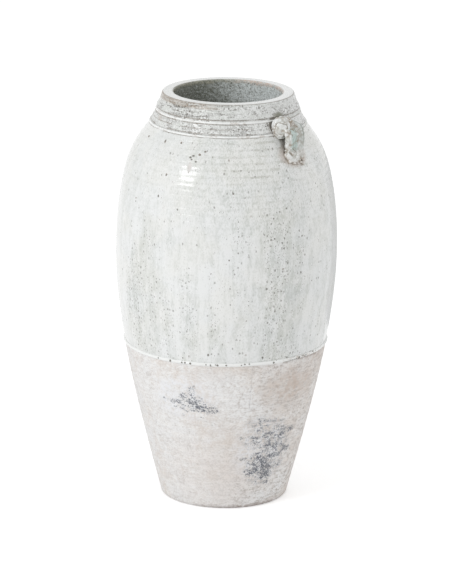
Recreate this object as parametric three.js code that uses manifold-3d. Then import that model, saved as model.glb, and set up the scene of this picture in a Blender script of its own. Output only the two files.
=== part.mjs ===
// Tall two-lugged jar in half-glazed stoneware, built the way a potter builds one this size:
// a foot slab, three thrown wall sections, a neck ring, a collar and a lip stacked and luted,
// two cordons and a roll of glaze laid round the wall, and a pair of modelled cord lugs.
// Millimetres, +Z up, origin on the axis in the plane of the foot. The right lug lies along +X.
import * as THREE from "three";
import { mergeVertices } from "three/addons/utils/BufferGeometryUtils.js";
import Module from "manifold-3d";

// Outer wall, station by station from the foot up. A rise is measured from the station below,
// and a lean is the angle in degrees by which the wall leans out there.
const footRadius = 90.5;
const footLean = 15;
const bareRise = 229.5;
const lineRadius = 144.9;
const lineLean = 10;
const bellyRise = 131.5;
const bellyRadius = 158.1;
const shoulderRise = 119;
const shoulderRadius = 145.6;
const shoulderLean = -14;
const crownRise = 35;
const crownRadius = 132.3;
const crownLean = -28;
const neckRootRise = 34;
const neckRootRadius = 109.8;
const neckRootLean = -31;
const neckRise = 20;
const neckRadius = 100.5;
const neckLean = -15;

// Wall and neck
const wallThickness = 11;
const neckThickness = 23.5;
const throatDrop = 14;
const bellyJointRise = 70;
const throwingPitch = 10;
const throwingDepth = 0.7;

// Foot slab
const slabHeight = 14;
const footEdge = 3.5;
const footRingWidth = 15;
const footRecess = 2.5;
const footRecessEdge = 4;
const spigotHeight = 4;

// Collar and lip
const collarHeight = 14;
const collarSeat = 9.5;
const collarOverhang = 1.4;
const collarDraft = 6.5;
const collarEdge = 1.6;
const lipHeight = 7;
const lipDraft = 1.4;
const lipOuterEdge = 4.5;
const lipInnerEdge = 3.2;

// Rings laid round the wall
const cordonHeight = 3.6;
const cordonProud = 1.1;
const upperCordonDrop = 0.8;
const glazeRollHeight = 5.4;
const glazeRollProud = 1.8;

// Luted joints
const tongueHeight = 5;
const slipGap = 0.3;

// Lugs: drops are measured down from the underside of the collar, and proud sizes out from the wall.
// One ear is smaller than the other, by its share, and sits lower.
const lugHeadDrop = 11;
const lugHeadHeight = 31;
const lugEarWidth = 26;
const lugEarDepth = 26;
const lugEarProud = 23;
const lugEarOffset = 10.5;
const lugSmallEarShare = 0.76;
const lugSmallEarDrop = 4;
const lugBrowWidth = 22;
const lugBrowHeight = 24;
const lugStrapBendDrop = 27;
const lugStrapTopWidth = 36;
const lugStrapFootWidth = 31;
const lugStrapThickness = 13.5;
const lugStrapChannel = 3;
const lugStrapStand = 1;
const lugStrapSwell = 6;
const lugTailDrop = 49.5;
const lugTailWidth = 34;
const lugTailHeight = 22;
const lugTailProud = 9.5;
// Degrees round the jar from the right lug to the left one, which was set on by eye.
const leftLugTurn = 175;

// Fineness of the faceting
const ringSides = 48;
const outerStep = 42;
const innerStep = 50;
const arcSteps = 3;
const lugStrapSquareness = 0.7;
const strapSteps = 12;
const strapSides = 16;
const lobeSides = 12;
const lobeRows = 8;

const glaze = new THREE.MeshStandardMaterial({ color: 0xdfe3df, roughness: 0.2, metalness: 0 });
const thinGlaze = new THREE.MeshStandardMaterial({ color: 0xc9cbc7, roughness: 0.3, metalness: 0 });
const bareClay = new THREE.MeshStandardMaterial({ color: 0xd8d3cf, roughness: 0.92, metalness: 0 });
const rollGlaze = new THREE.MeshStandardMaterial({ color: 0xeceeec, roughness: 0.2, metalness: 0 });

// Heights of the stations
const lineZ = bareRise;
const bellyZ = lineZ + bellyRise;
const shoulderZ = bellyZ + shoulderRise;
const crownZ = shoulderZ + crownRise;
const neckRootZ = crownZ + neckRootRise;
const neckTopZ = neckRootZ + neckRise;
const lipZ = neckTopZ + collarHeight;
const rimZ = lipZ + lipHeight;
const upperCordonZ = neckTopZ - upperCordonDrop - cordonHeight / 2;
const bellyJointZ = bellyZ + bellyJointRise;

// Radii of the mouth, of the sleeve inside the collar, and of the collar at its foot and its top
const mouthRadius = neckRadius - neckThickness;
const sleeveRadius = neckRadius - collarSeat;
const collarFootRadius = neckRadius + collarOverhang;
const collarTopRadius = collarFootRadius - collarDraft;

const slopeOf = (degrees) => Math.tan(THREE.MathUtils.degToRad(degrees));
const stations = [
  { z: 0, r: footRadius, slope: slopeOf(footLean) },
  { z: lineZ, r: lineRadius, slope: slopeOf(lineLean) },
  { z: bellyZ, r: bellyRadius, slope: 0 },
  { z: shoulderZ, r: shoulderRadius, slope: slopeOf(shoulderLean) },
  { z: crownZ, r: crownRadius, slope: slopeOf(crownLean) },
  { z: neckRootZ, r: neckRootRadius, slope: slopeOf(neckRootLean) },
  { z: neckTopZ, r: neckRadius, slope: slopeOf(neckLean) },
];

// Smooth cubic from (z0, r0) to (z1, r1) with the given slopes.
function hermite(z, z0, r0, slope0, z1, r1, slope1) {
  const span = z1 - z0;
  const t = (z - z0) / span;
  const u = 1 - t;
  return u * u * (1 + 2 * t) * r0 + t * t * (3 - 2 * t) * r1 + t * u * span * (u * slope0 - t * slope1);
}

function outerRadius(z) {
  let i = 0;
  while (i < stations.length - 2 && z > stations[i + 1].z) i += 1;
  const [a, b] = [stations[i], stations[i + 1]];
  return hermite(z, a.z, a.r, a.slope, b.z, b.r, b.slope);
}

function outerSlope(z) {
  const half = 0.5;
  return (outerRadius(z + half) - outerRadius(z - half)) / (2 * half);
}

// The wall keeps its thickness square to itself, so its level thickness grows where it leans.
function innerRadius(z) {
  return outerRadius(z) - wallThickness * Math.hypot(1, outerSlope(z));
}

// Evenly spaced heights from low to high, both included, no further apart than the step.
function levels(low, high, step) {
  const count = Math.max(1, Math.ceil((high - low) / step));
  return Array.from({ length: count + 1 }, (_, i) => low + ((high - low) * i) / count);
}

const point = (r, z) => new THREE.Vector2(r, z);

// Points of a quarter round from one tangent point to the other, through their shared corner.
function quarterRound(from, corner, to) {
  const curve = new THREE.QuadraticBezierCurve(from, corner, to);
  return curve.getPoints(arcSteps);
}

// Solid of revolution about Z from a section that runs anticlockwise in the (radius, height) plane.
function revolve(section) {
  const closed = section[0].x === 0 ? section : [...section, section[0].clone()];
  const geometry = new THREE.LatheGeometry(closed, ringSides);
  return geometry.rotateX(Math.PI / 2);
}

// Inner and outer edges of a luted joint: the lower piece stands up in a tongue on the inside,
// and the piece above it is rebated to drop over the tongue.
const partingRadius = (z) => (outerRadius(z) + innerRadius(z)) / 2;

function tongueTop(z, inner) {
  return [
    point(outerRadius(z), z),
    point(partingRadius(z) - slipGap, z),
    point(partingRadius(z) - slipGap, z + tongueHeight),
    point(inner(z + tongueHeight), z + tongueHeight),
  ];
}

function rebateBottom(z, inner) {
  const roof = z + tongueHeight + slipGap;
  return [
    point(inner(roof), roof),
    point(partingRadius(z), roof),
    point(partingRadius(z), z),
    point(outerRadius(z), z),
  ];
}

function outerWall(low, high, step, ripple = 0) {
  const inside = levels(low, high, step).slice(1, -1);
  return inside.map((z, i) => point(outerRadius(z) + (i % 2 ? ripple : -ripple), z));
}

function innerWall(high, low, step, inner) {
  const inside = levels(low, high, step).slice(1, -1).reverse();
  return inside.map((z) => point(inner(z), z));
}

// Foot slab: a disc that stands on a flat ring round a shallow recess, with a spigot for the wall.
function footSlab() {
  const recessRadius = footRadius - footRingWidth;
  const spigotRadius = innerRadius(slabHeight) - slipGap;
  return [
    point(0, footRecess),
    point(recessRadius - footRecessEdge, footRecess),
    point(recessRadius, 0),
    ...quarterRound(point(footRadius - footEdge, 0), point(footRadius, 0), point(outerRadius(footEdge), footEdge)),
    point(outerRadius(slabHeight), slabHeight),
    point(spigotRadius, slabHeight),
    point(spigotRadius, slabHeight + spigotHeight),
    point(0, slabHeight + spigotHeight),
  ];
}

// Lower wall, left bare: it stands on the slab round the spigot and ends in a tongue at the glaze line.
function lowerWall() {
  return [
    point(innerRadius(slabHeight), slabHeight),
    point(outerRadius(slabHeight), slabHeight),
    ...outerWall(slabHeight, lineZ, outerStep),
    ...tongueTop(lineZ, innerRadius),
    ...innerWall(lineZ + tongueHeight, slabHeight, innerStep, innerRadius),
  ];
}

// Belly wall: from the glaze line to just above the widest point.
function bellyWall() {
  return [
    ...rebateBottom(lineZ, innerRadius),
    ...outerWall(lineZ, bellyJointZ, outerStep),
    ...tongueTop(bellyJointZ, innerRadius),
    ...innerWall(bellyJointZ + tongueHeight, lineZ + tongueHeight + slipGap, innerStep, innerRadius),
  ];
}

// Shoulder wall: closes in to the neck, and its throwing rings stand as ridges and furrows.
function shoulderWall() {
  return [
    ...rebateBottom(bellyJointZ, innerRadius),
    ...outerWall(bellyJointZ, neckRootZ, throwingPitch / 2, throwingDepth / 2),
    ...tongueTop(neckRootZ, innerRadius),
    ...innerWall(neckRootZ + tongueHeight, bellyJointZ + tongueHeight + slipGap, outerStep, innerRadius),
  ];
}

// Inside of the neck: it draws in from the shoulder to the mouth, then runs straight up.
function throatRadius(z) {
  const throatZ = lipZ - throatDrop;
  if (z >= throatZ) return mouthRadius;
  const root = innerRadius(neckRootZ + tongueHeight);
  const rootSlope = outerSlope(neckRootZ + tongueHeight);
  return hermite(z, neckRootZ + tongueHeight, root, rootSlope, throatZ, mouthRadius, 0);
}

// Neck ring: the thick coil thrown on top of the shoulder, stepped in to take the collar.
function neckRing() {
  const cordonLevels = [
    neckRootZ + cordonHeight / 2,
    upperCordonZ - cordonHeight / 2,
    upperCordonZ,
    upperCordonZ + cordonHeight / 2,
  ];
  return [
    ...rebateBottom(neckRootZ, throatRadius),
    ...cordonLevels.map((z) => point(outerRadius(z), z)),
    point(neckRadius, neckTopZ),
    point(sleeveRadius, neckTopZ),
    point(sleeveRadius, lipZ),
    point(mouthRadius, lipZ),
    ...innerWall(lipZ - throatDrop, neckRootZ + tongueHeight + slipGap, throatDrop / 3, throatRadius),
  ];
}

// Collar: a bevelled band that sits on the neck's step, its lower edge a little proud of the neck.
function collarBand() {
  const bevelStart = point(collarFootRadius - (collarDraft * collarEdge) / collarHeight, neckTopZ + collarEdge);
  const corner = point(collarFootRadius, neckTopZ);
  const edge = quarterRound(point(collarFootRadius - collarEdge, neckTopZ), corner, bevelStart);
  return [
    point(sleeveRadius + slipGap, neckTopZ),
    ...edge,
    point(collarTopRadius, lipZ),
    point(sleeveRadius + slipGap, lipZ),
  ];
}

// Lip: the rolled coil that covers neck and collar and rounds the mouth, with a flat land on top.
function lipRoll() {
  const outerTop = collarTopRadius - lipDraft;
  return [
    point(mouthRadius, lipZ),
    point(collarTopRadius, lipZ),
    ...quarterRound(point(outerTop, rimZ - lipOuterEdge), point(outerTop, rimZ), point(outerTop - lipOuterEdge, rimZ)),
    ...quarterRound(point(mouthRadius + lipInnerEdge, rimZ), point(mouthRadius, rimZ), point(mouthRadius, rimZ - lipInnerEdge)),
  ];
}

// Rounded outer face of a ring laid on the wall, from its lower edge to its upper one.
function laidCrown(middleZ, height, proud) {
  return [-0.8, -0.35, 0.35, 0.8].map((share) => {
    const z = middleZ + (share * height) / 2;
    return point(outerRadius(z) + slipGap + proud * Math.sqrt(1 - share * share), z);
  });
}

// A ring of half-round section bedded on the wall about a height.
function laidRing(middleZ, height, proud) {
  const seatLevels = [middleZ + height / 2, middleZ - height / 2];
  const seat = seatLevels.map((z) => point(outerRadius(z) + slipGap, z));
  return [...laidCrown(middleZ, height, proud), ...seat];
}

const wasm = await Module();
wasm.setup();

// A closed three.js geometry as a solid for joining and cutting.
function solidFrom(geometry) {
  const bare = geometry.clone();
  bare.deleteAttribute("normal");
  bare.deleteAttribute("uv");
  const merged = mergeVertices(bare, 1e-3);
  return new wasm.Manifold(
    new wasm.Mesh({
      numProp: 3,
      vertProperties: merged.attributes.position.array,
      triVerts: new Uint32Array(merged.index.array),
    }),
  );
}

function geometryFrom(solid) {
  const mesh = solid.getMesh();
  const geometry = new THREE.BufferGeometry();
  geometry.setAttribute("position", new THREE.BufferAttribute(mesh.vertProperties, 3));
  geometry.setIndex(new THREE.BufferAttribute(mesh.triVerts, 1));
  geometry.computeVertexNormals();
  return geometry;
}

// An egg-shaped lobe of clay about a point on the lug's side of the jar, by its full sizes.
function lobe(x, y, z, depth, width, height) {
  const egg = new THREE.SphereGeometry(0.5, lobeSides, lobeRows).rotateX(Math.PI / 2);
  return solidFrom(egg.scale(depth, width, height).translate(x, y, z));
}

// Outline of the strap square to its length: a squarish oval, channelled down the middle of its outer face.
function strapOutline(width, turn) {
  const [across, face] = [Math.sin(turn), Math.cos(turn)];
  const squared = (share) => Math.sign(share) * Math.abs(share) ** lugStrapSquareness;
  const channel = face > 0 ? lugStrapChannel * face ** 8 : 0;
  return { side: (width / 2) * squared(across), out: (lugStrapThickness / 2) * squared(face) - channel };
}

// A solid strap along a curve in the plane Y = 0 that runs down and out, drawn in from top to foot.
function strapAlong(curve) {
  const positions = [];
  const indices = [];
  for (let i = 0; i <= strapSteps; i += 1) {
    const centre = curve.getPointAt(i / strapSteps);
    const along = curve.getTangentAt(i / strapSteps);
    const outward = new THREE.Vector3(-along.z, 0, along.x);
    const width = THREE.MathUtils.lerp(lugStrapTopWidth, lugStrapFootWidth, i / strapSteps);
    for (let j = 0; j < strapSides; j += 1) {
      const { side, out } = strapOutline(width, (2 * Math.PI * j) / strapSides);
      const place = centre.clone().addScaledVector(outward, out);
      positions.push(place.x, side, place.z);
    }
  }
  for (let i = 0; i < strapSteps; i += 1) {
    for (let j = 0; j < strapSides; j += 1) {
      const [a, b] = [i * strapSides + j, i * strapSides + ((j + 1) % strapSides)];
      indices.push(a, a + strapSides, b, b, a + strapSides, b + strapSides);
    }
  }
  const lastRing = strapSteps * strapSides;
  for (let j = 1; j < strapSides - 1; j += 1) {
    indices.push(0, j, j + 1);
    indices.push(lastRing, lastRing + j + 1, lastRing + j);
  }
  const geometry = new THREE.BufferGeometry();
  geometry.setAttribute("position", new THREE.Float32BufferAttribute(positions, 3));
  geometry.setIndex(indices);
  return solidFrom(geometry);
}

// The wall and the collar as one plain blank, grown by the slip gap, that the lugs are fitted to.
function fittingBlank() {
  const shoulder = outerWall(bellyJointZ, neckRootZ, throwingPitch / 2, throwingDepth / 2);
  const cordons = [neckRootZ, upperCordonZ].flatMap((z) => laidCrown(z, cordonHeight, cordonProud));
  const grown = [...shoulder, ...cordons].map((p) => point(p.x + slipGap, p.y));
  return solidFrom(
    revolve([
      point(0, bellyJointZ),
      point(outerRadius(bellyJointZ) + slipGap, bellyJointZ),
      ...grown,
      point(collarFootRadius + slipGap, neckTopZ - slipGap),
      point(collarFootRadius + slipGap, lipZ),
      point(0, lipZ),
    ]),
  );
}

// Middle of the head of a lug, under the collar on the lug's side of the jar.
function lugHeadMiddle() {
  const z = neckTopZ - lugHeadDrop;
  return { x: outerRadius(z) + lugEarProud - lugEarDepth / 2, z };
}

// Head of a lug: a large ear lobe and a small one joined by a brow, pressed on the neck under the collar.
function lugHead(grow) {
  const { x, z } = lugHeadMiddle();
  const grown = (share, sizes) => sizes.map((size) => share * size + 2 * grow);
  const earSizes = [lugEarDepth, lugEarWidth, lugHeadHeight];
  const largeEar = lobe(x, -lugEarOffset, z, ...grown(1, earSizes));
  const smallEar = lobe(x, lugEarOffset, z - lugSmallEarDrop, ...grown(lugSmallEarShare, earSizes));
  const brow = lobe(x, 0, z, ...grown(1, [lugEarDepth, lugBrowWidth, lugBrowHeight]));
  return brow.add(largeEar).add(smallEar);
}

// Tail of a lug: a round pad pressed on the shoulder.
function lugTail(grow) {
  const z = neckTopZ - lugTailDrop;
  const [depth, width, height] = [2 * lugTailProud, lugTailWidth, lugTailHeight].map((size) => size + 2 * grow);
  return lobe(outerRadius(z), 0, z, depth, width, height);
}

// Strap of a lug: it leaves the head level, bends over and drops to the tail, with an eye behind it.
function lugStrap() {
  const head = lugHeadMiddle();
  const tailZ = neckTopZ - lugTailDrop;
  const bowRadius = outerRadius(tailZ) + lugStrapStand;
  const spine = new THREE.CubicBezierCurve3(
    new THREE.Vector3(head.x, 0, head.z),
    new THREE.Vector3(bowRadius + lugStrapSwell, 0, head.z),
    new THREE.Vector3(bowRadius, 0, neckTopZ - lugStrapBendDrop),
    new THREE.Vector3(bowRadius, 0, tailZ),
  );
  return strapAlong(spine);
}

const jar = new THREE.Group();

function addMesh(name, geometry, material, turn = 0) {
  const mesh = new THREE.Mesh(geometry, material);
  mesh.name = name;
  mesh.rotation.z = turn;
  jar.add(mesh);
}

addMesh("foot_slab", revolve(footSlab()), bareClay);
addMesh("lower_wall", revolve(lowerWall()), bareClay);
addMesh("belly_wall", revolve(bellyWall()), glaze);
addMesh("shoulder_wall", revolve(shoulderWall()), glaze);
addMesh("neck_ring", revolve(neckRing()), thinGlaze);
addMesh("collar_band", revolve(collarBand()), thinGlaze);
addMesh("lip_roll", revolve(lipRoll()), glaze);
addMesh("glaze_roll", revolve(laidRing(lineZ, glazeRollHeight, glazeRollProud)), rollGlaze);
addMesh("lower_cordon", revolve(laidRing(neckRootZ, cordonHeight, cordonProud)), glaze);
addMesh("upper_cordon", revolve(laidRing(upperCordonZ, cordonHeight, cordonProud)), glaze);

const blank = fittingBlank();
const head = geometryFrom(lugHead(0).subtract(blank));
const tail = geometryFrom(lugTail(0).subtract(blank));
const strap = geometryFrom(lugStrap().subtract(lugHead(slipGap)).subtract(lugTail(slipGap)).subtract(blank));
[["right", 0], ["left", THREE.MathUtils.degToRad(leftLugTurn)]].forEach(([side, turn]) => {
  addMesh(`${side}_lug_head`, head, thinGlaze, turn);
  addMesh(`${side}_lug_strap`, strap, thinGlaze, turn);
  addMesh(`${side}_lug_tail`, tail, thinGlaze, turn);
});

export default jar;
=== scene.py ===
"""Half-glazed stoneware jar with cord lugs: its glaze, bare clay, lugs and studio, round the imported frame."""

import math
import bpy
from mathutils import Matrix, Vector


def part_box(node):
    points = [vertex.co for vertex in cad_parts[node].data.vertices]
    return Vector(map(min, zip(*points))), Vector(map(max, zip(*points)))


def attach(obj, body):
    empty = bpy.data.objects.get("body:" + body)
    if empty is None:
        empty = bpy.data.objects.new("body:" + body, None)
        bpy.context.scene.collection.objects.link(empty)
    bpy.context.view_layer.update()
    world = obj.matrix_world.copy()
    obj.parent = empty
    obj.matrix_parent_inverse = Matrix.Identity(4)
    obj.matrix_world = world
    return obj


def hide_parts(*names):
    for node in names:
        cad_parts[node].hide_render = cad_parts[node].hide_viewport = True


bl_info = {
    "name": "Half-glazed cord-lug jar",
    "version": (1, 0, 0),
    "blender": (4, 5, 0),
    "location": "3D View > Sidebar > Jar",
    "description": "Throws, glazes and lights a tall stoneware jar with cord lugs",
    "category": "Add Mesh",
}

import bmesh
import bpy
from bpy.props import FloatProperty, FloatVectorProperty, PointerProperty
from mathutils import Matrix, Quaternion, Vector, noise

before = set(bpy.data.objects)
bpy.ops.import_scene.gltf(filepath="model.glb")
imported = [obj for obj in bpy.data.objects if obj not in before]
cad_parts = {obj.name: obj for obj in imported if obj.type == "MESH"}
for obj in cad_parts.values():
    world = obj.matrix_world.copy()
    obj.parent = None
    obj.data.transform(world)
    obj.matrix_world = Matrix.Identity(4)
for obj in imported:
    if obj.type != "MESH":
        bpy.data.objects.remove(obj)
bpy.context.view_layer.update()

# Heights and radii that the frame's own pieces give, in metres
LINE_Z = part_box("belly_wall")[0].z
LINE_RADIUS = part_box("lower_wall")[1].x
BELLY_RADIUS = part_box("belly_wall")[1].x
NECK_ROOT_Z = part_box("neck_ring")[0].z
NECK_ROOT_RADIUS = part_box("neck_ring")[1].x
COLLAR_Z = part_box("collar_band")[0].z
COLLAR_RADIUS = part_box("collar_band")[1].x
LIP_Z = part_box("lip_roll")[0].z
LIP_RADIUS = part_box("lip_roll")[1].x
RIM_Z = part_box("lip_roll")[1].z
LOWER_CORDON = [corner.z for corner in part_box("lower_cordon")]
UPPER_CORDON = [corner.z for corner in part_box("upper_cordon")]
ROLL = [corner.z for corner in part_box("glaze_roll")]


def length(name, default, description, high=1.0):
    return FloatProperty(name=name, description=description, default=default, min=0.0, max=high,
                         unit="LENGTH")


def angle(name, degrees, description):
    return FloatProperty(name=name, description=description, default=math.radians(degrees), subtype="ANGLE")


def colour(name, value, description):
    return FloatVectorProperty(name=name, description=description, default=value, size=3, min=0, max=1,
                               subtype="COLOR")


class JarShape(bpy.types.PropertyGroup):
    """Sizes of the thrown wall that the frame's boxes don't give"""

    foot_radius: length("Foot radius", 0.0905, "Radius of the foot, before its edge is rounded")
    foot_lean: angle("Foot lean", 15, "Lean of the wall at the foot")
    foot_edge: length("Foot edge", 0.0035, "Rounding of the foot's outer edge")
    foot_ring: length("Foot ring", 0.015, "Width of the flat ring that the jar stands on")
    foot_recess: length("Foot recess", 0.0025, "Depth of the recess inside the foot ring")
    floor_z: length("Floor", 0.018, "Height of the floor inside the jar")
    line_lean: angle("Glaze line lean", 10, "Lean of the wall at the glaze line")
    belly_z: length("Belly height", 0.361, "Height of the widest point")
    shoulder_z: length("Shoulder height", 0.480, "Height of the shoulder station")
    shoulder_radius: length("Shoulder radius", 0.1456, "Radius at the shoulder station")
    shoulder_lean: angle("Shoulder lean", -14, "Lean of the wall at the shoulder station")
    crown_z: length("Crown height", 0.515, "Height of the crown station")
    crown_radius: length("Crown radius", 0.1323, "Radius at the crown station")
    crown_lean: angle("Crown lean", -28, "Lean of the wall at the crown station")
    neck_root_lean: angle("Neck root lean", -31, "Lean of the wall at the root of the neck")
    neck_radius: length("Neck radius", 0.1005, "Radius of the neck under the collar")
    neck_lean: angle("Neck lean", -15, "Lean of the wall under the collar")
    wall: length("Wall", 0.011, "Thickness of the wall")
    mouth_radius: length("Mouth radius", 0.077, "Inner radius of the mouth")
    throat_drop: length("Throat drop", 0.014, "Height of the straight throat below the lip")
    joint_height: length("Joint height", 0.006, "Height over which the neck's inside opens out to the body")
    ring_pitch: length("Ring pitch", 0.0086, "Spacing of the throwing rings")
    ring_depth: length("Ring depth", 0.00024, "Depth of the throwing rings, from ridge to furrow")
    wobble: length("Wobble", 0.0008, "How far the wall strays from round")


class JarLug(bpy.types.PropertyGroup):
    """Sizes of a cord lug, with its drops measured down from the underside of the collar"""

    head_drop: length("Head drop", 0.011, "Drop of the middle of the head")
    head_height: length("Head height", 0.031, "Height of the large ear of the head")
    ear_width: length("Ear width", 0.026, "Width of the large ear")
    ear_depth: length("Ear depth", 0.026, "Depth of the large ear")
    ear_proud: length("Ear proud", 0.023, "How far the head stands out from the wall")
    ear_offset: length("Ear offset", 0.0105, "Distance of each ear from the middle of the lug")
    small_ear: FloatProperty(name="Small ear", default=0.76,
                             description="Share of the small ear to the large one")
    small_ear_drop: length("Small ear drop", 0.004, "How much lower the small ear sits")
    brow_width: length("Brow width", 0.022, "Width of the brow between the ears")
    brow_height: length("Brow height", 0.024, "Height of the brow between the ears")
    bend_drop: length("Bend drop", 0.027, "Drop at which the strap has bent down")
    top_width: length("Strap top width", 0.036, "Width of the strap at the head")
    foot_width: length("Strap foot width", 0.031, "Width of the strap at the tail")
    thickness: length("Strap thickness", 0.0135, "Thickness of the strap")
    channel: length("Strap channel", 0.003, "Depth of the channel down the face of the strap")
    stand: length("Strap stand", 0.001, "How far the strap stands out from the wall at the tail")
    swell: length("Strap swell", 0.006, "How far the strap swells out below the head")
    tail_drop: length("Tail drop", 0.0495, "Drop of the middle of the tail")
    tail_width: length("Tail width", 0.034, "Width of the tail")
    tail_height: length("Tail height", 0.022, "Height of the tail")
    tail_proud: length("Tail proud", 0.0095, "How far the tail stands out from the wall")
    left_turn: angle("Left turn", 175, "How far round the jar the left lug is from the right one")


class JarFinish(bpy.types.PropertyGroup):
    """Colours of the glaze and of the bare clay"""

    thick_glaze: colour("Thick glaze", (0.815, 0.825, 0.817), "Glaze where it lies thick and clouds white")
    thin_glaze: colour("Thin glaze", (0.600, 0.620, 0.590), "Glaze where it runs thin and shows the clay")
    pooled_glaze: colour("Pooled glaze", (0.380, 0.510, 0.470), "Glaze where it pools deep and green")
    # The throat glaze's dark colour also stands in for painted shade inside the neck
    throat_glaze_and_shade: colour("Throat glaze", (0.205, 0.215, 0.185), "Starved glaze inside the neck")
    iron: colour("Iron", (0.130, 0.120, 0.100), "Iron specks that come up through the glaze")
    rust: colour("Rust", (0.360, 0.245, 0.170), "Iron brown where the glaze breaks over an edge")
    bare_clay: colour("Bare clay", (0.735, 0.680, 0.635), "Bare fired clay")
    slip_bloom: colour("Slip bloom", (0.865, 0.860, 0.852), "Pale bloom on the bare clay")
    earth_stain: colour("Earth stain", (0.520, 0.400, 0.320), "Brown stains on the bare clay")
    scuff: colour("Scuff", (0.135, 0.145, 0.168), "Blue-grey scuffs on the bare clay")


class JarStudio(bpy.types.PropertyGroup):
    """Camera and lights"""

    azimuth: angle("Azimuth", 45, "How far round the jar the camera stands")
    elevation: angle("Elevation", 15.5, "How far above level the camera looks from")
    roll: angle("Roll", 0.665, "Roll of the camera")
    distance: length("Distance", 5.08, "Distance from the camera to its target", high=20.0)
    target_z: length("Target height", 0.2956, "Height that the camera looks at")
    target_right: length("Target shift", 0.0001, "Distance of the target from the axis, to the right")
    lens: FloatProperty(name="Lens", description="Focal length in millimetres", default=219.0)
    ambient: FloatProperty(name="Ambient", description="Strength of the light from all round", default=0.80)
    key_power: FloatProperty(name="Key", description="Power of the window light", default=9.5)
    fill_power: FloatProperty(name="Fill", description="Power of the wide light on the right", default=3.0)


def tints(*names):
    """Colours of the jar's finish, by name."""
    finish = bpy.context.scene.jar_finish
    return [tuple(getattr(finish, name)) for name in names]


def placed(name, data):
    """New object in the scene."""
    thing = bpy.data.objects.new(name, data)
    bpy.context.scene.collection.objects.link(thing)
    return thing


# Node graphs


class Value:
    """A socket of a node graph, which adds a Math node for each operator used on it."""

    def __init__(self, graph, socket):
        self.graph, self.socket = graph, socket

    def __add__(self, other):
        return self.graph.math("ADD", self, other)

    def __sub__(self, other):
        return self.graph.math("SUBTRACT", self, other)

    def __rsub__(self, other):
        return self.graph.math("SUBTRACT", other, self)

    def __mul__(self, other):
        return self.graph.math("MULTIPLY", self, other)

    def __truediv__(self, other):
        return self.graph.math("DIVIDE", self, other)

    def __rtruediv__(self, other):
        return self.graph.math("DIVIDE", other, self)

    def __pow__(self, other):
        return self.graph.math("POWER", self, other)

    __radd__ = __add__
    __rmul__ = __mul__


class Graph:
    """Adds nodes to a shader or geometry tree and joins them up."""

    def __init__(self, tree):
        self.tree = tree

    def feed(self, socket, value):
        if isinstance(value, Value):
            self.tree.links.new(value.socket, socket)
        elif value is not None:
            socket.default_value = value

    def node(self, kind, settings=None, values=(), **named):
        """A node of a type, with its settings made first, then its inputs by order and by name."""
        node = self.tree.nodes.new(kind)
        for key, setting in (settings or {}).items():
            setattr(node, key, setting)
        for socket, value in zip(node.inputs, values):
            self.feed(socket, value)
        for name, value in named.items():
            self.feed(node.inputs[name.replace("_", " ")], value)
        return node

    def out(self, node, name=0):
        return Value(self, node.outputs[name])

    def math(self, operation, *values):
        return self.out(self.node("ShaderNodeMath", {"operation": operation}, values))

    def vector_math(self, operation, *values, output=0):
        return self.out(self.node("ShaderNodeVectorMath", {"operation": operation}, values), output)

    def parts(self, vector):
        """The x, y and z of a vector."""
        node = self.node("ShaderNodeSeparateXYZ", values=(vector,))
        return [self.out(node, i) for i in range(3)]

    def vector(self, x, y, z):
        return self.out(self.node("ShaderNodeCombineXYZ", values=(x, y, z)))

    def noise(self, place, scale, detail=3.0, roughness=0.5, distortion=0.0):
        """Smooth noise from 0 to 1 about a place in metres, with its scale in cycles to the metre."""
        settings = {"noise_dimensions": "3D"}
        node = self.node("ShaderNodeTexNoise", settings, Vector=place, Scale=scale, Detail=detail,
                         Roughness=roughness, Distortion=distortion)
        return self.out(node, "Fac" if "Fac" in node.outputs else "Factor")

    def ramp(self, value, low, high, to_low=0.0, to_high=1.0):
        """Smooth step of a value from one level to another."""
        node = self.node("ShaderNodeMapRange", {"interpolation_type": "SMOOTHSTEP"},
                         (value, low, high, to_low, to_high))
        return self.out(node)

    def mix(self, share, first, second):
        """Mix of two colours."""
        node = self.node("ShaderNodeMix", {"data_type": "RGBA"})
        self.feed(node.inputs[0], share)
        for socket, value in ((node.inputs[6], first), (node.inputs[7], second)):
            self.feed(socket, value if isinstance(value, Value) else (*value, 1.0))
        return Value(self, node.outputs[2])

    def ring_wave(self, place, height, pitch):
        """Wave of the throwing rings, which wander a little in height round the jar."""
        drift = (self.noise(place, 9.0, 1.0) - 0.5) * 0.004
        return self.math("SINE", (height + drift) / pitch * math.tau)

    def seen(self):
        """1 for a ray from the camera, or for one that shows a thing by gloss or through glass."""
        path = self.node("ShaderNodeLightPath")
        camera = self.out(path, "Is Camera Ray")
        gloss = self.out(path, "Is Glossy Ray")
        glass = self.out(path, "Is Transmission Ray")
        return self.math("MAXIMUM", camera, self.math("MAXIMUM", gloss, glass))


# The thrown wall


class Profile:
    """Outer and inner radii of the wall at each height, as smooth curves through its stations."""

    def __init__(self, shape):
        self.wall = shape.wall
        lean = math.tan
        self.stations = [
            (0.0, shape.foot_radius, lean(shape.foot_lean)),
            (LINE_Z, LINE_RADIUS, lean(shape.line_lean)),
            (shape.belly_z, BELLY_RADIUS, 0.0),
            (shape.shoulder_z, shape.shoulder_radius, lean(shape.shoulder_lean)),
            (shape.crown_z, shape.crown_radius, lean(shape.crown_lean)),
            (NECK_ROOT_Z, NECK_ROOT_RADIUS, lean(shape.neck_root_lean)),
            (COLLAR_Z, shape.neck_radius, lean(shape.neck_lean)),
        ]

    def outer(self, z):
        i = 0
        while i < len(self.stations) - 2 and z > self.stations[i + 1][0]:
            i += 1
        (z0, r0, s0), (z1, r1, s1) = self.stations[i], self.stations[i + 1]
        return hermite(z, z0, r0, s0, z1, r1, s1)

    def slope(self, z):
        step = 0.0005
        return (self.outer(z + step) - self.outer(z - step)) / (2 * step)

    def inner(self, z):
        return self.outer(z) - self.wall * math.hypot(1, self.slope(z))


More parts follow.
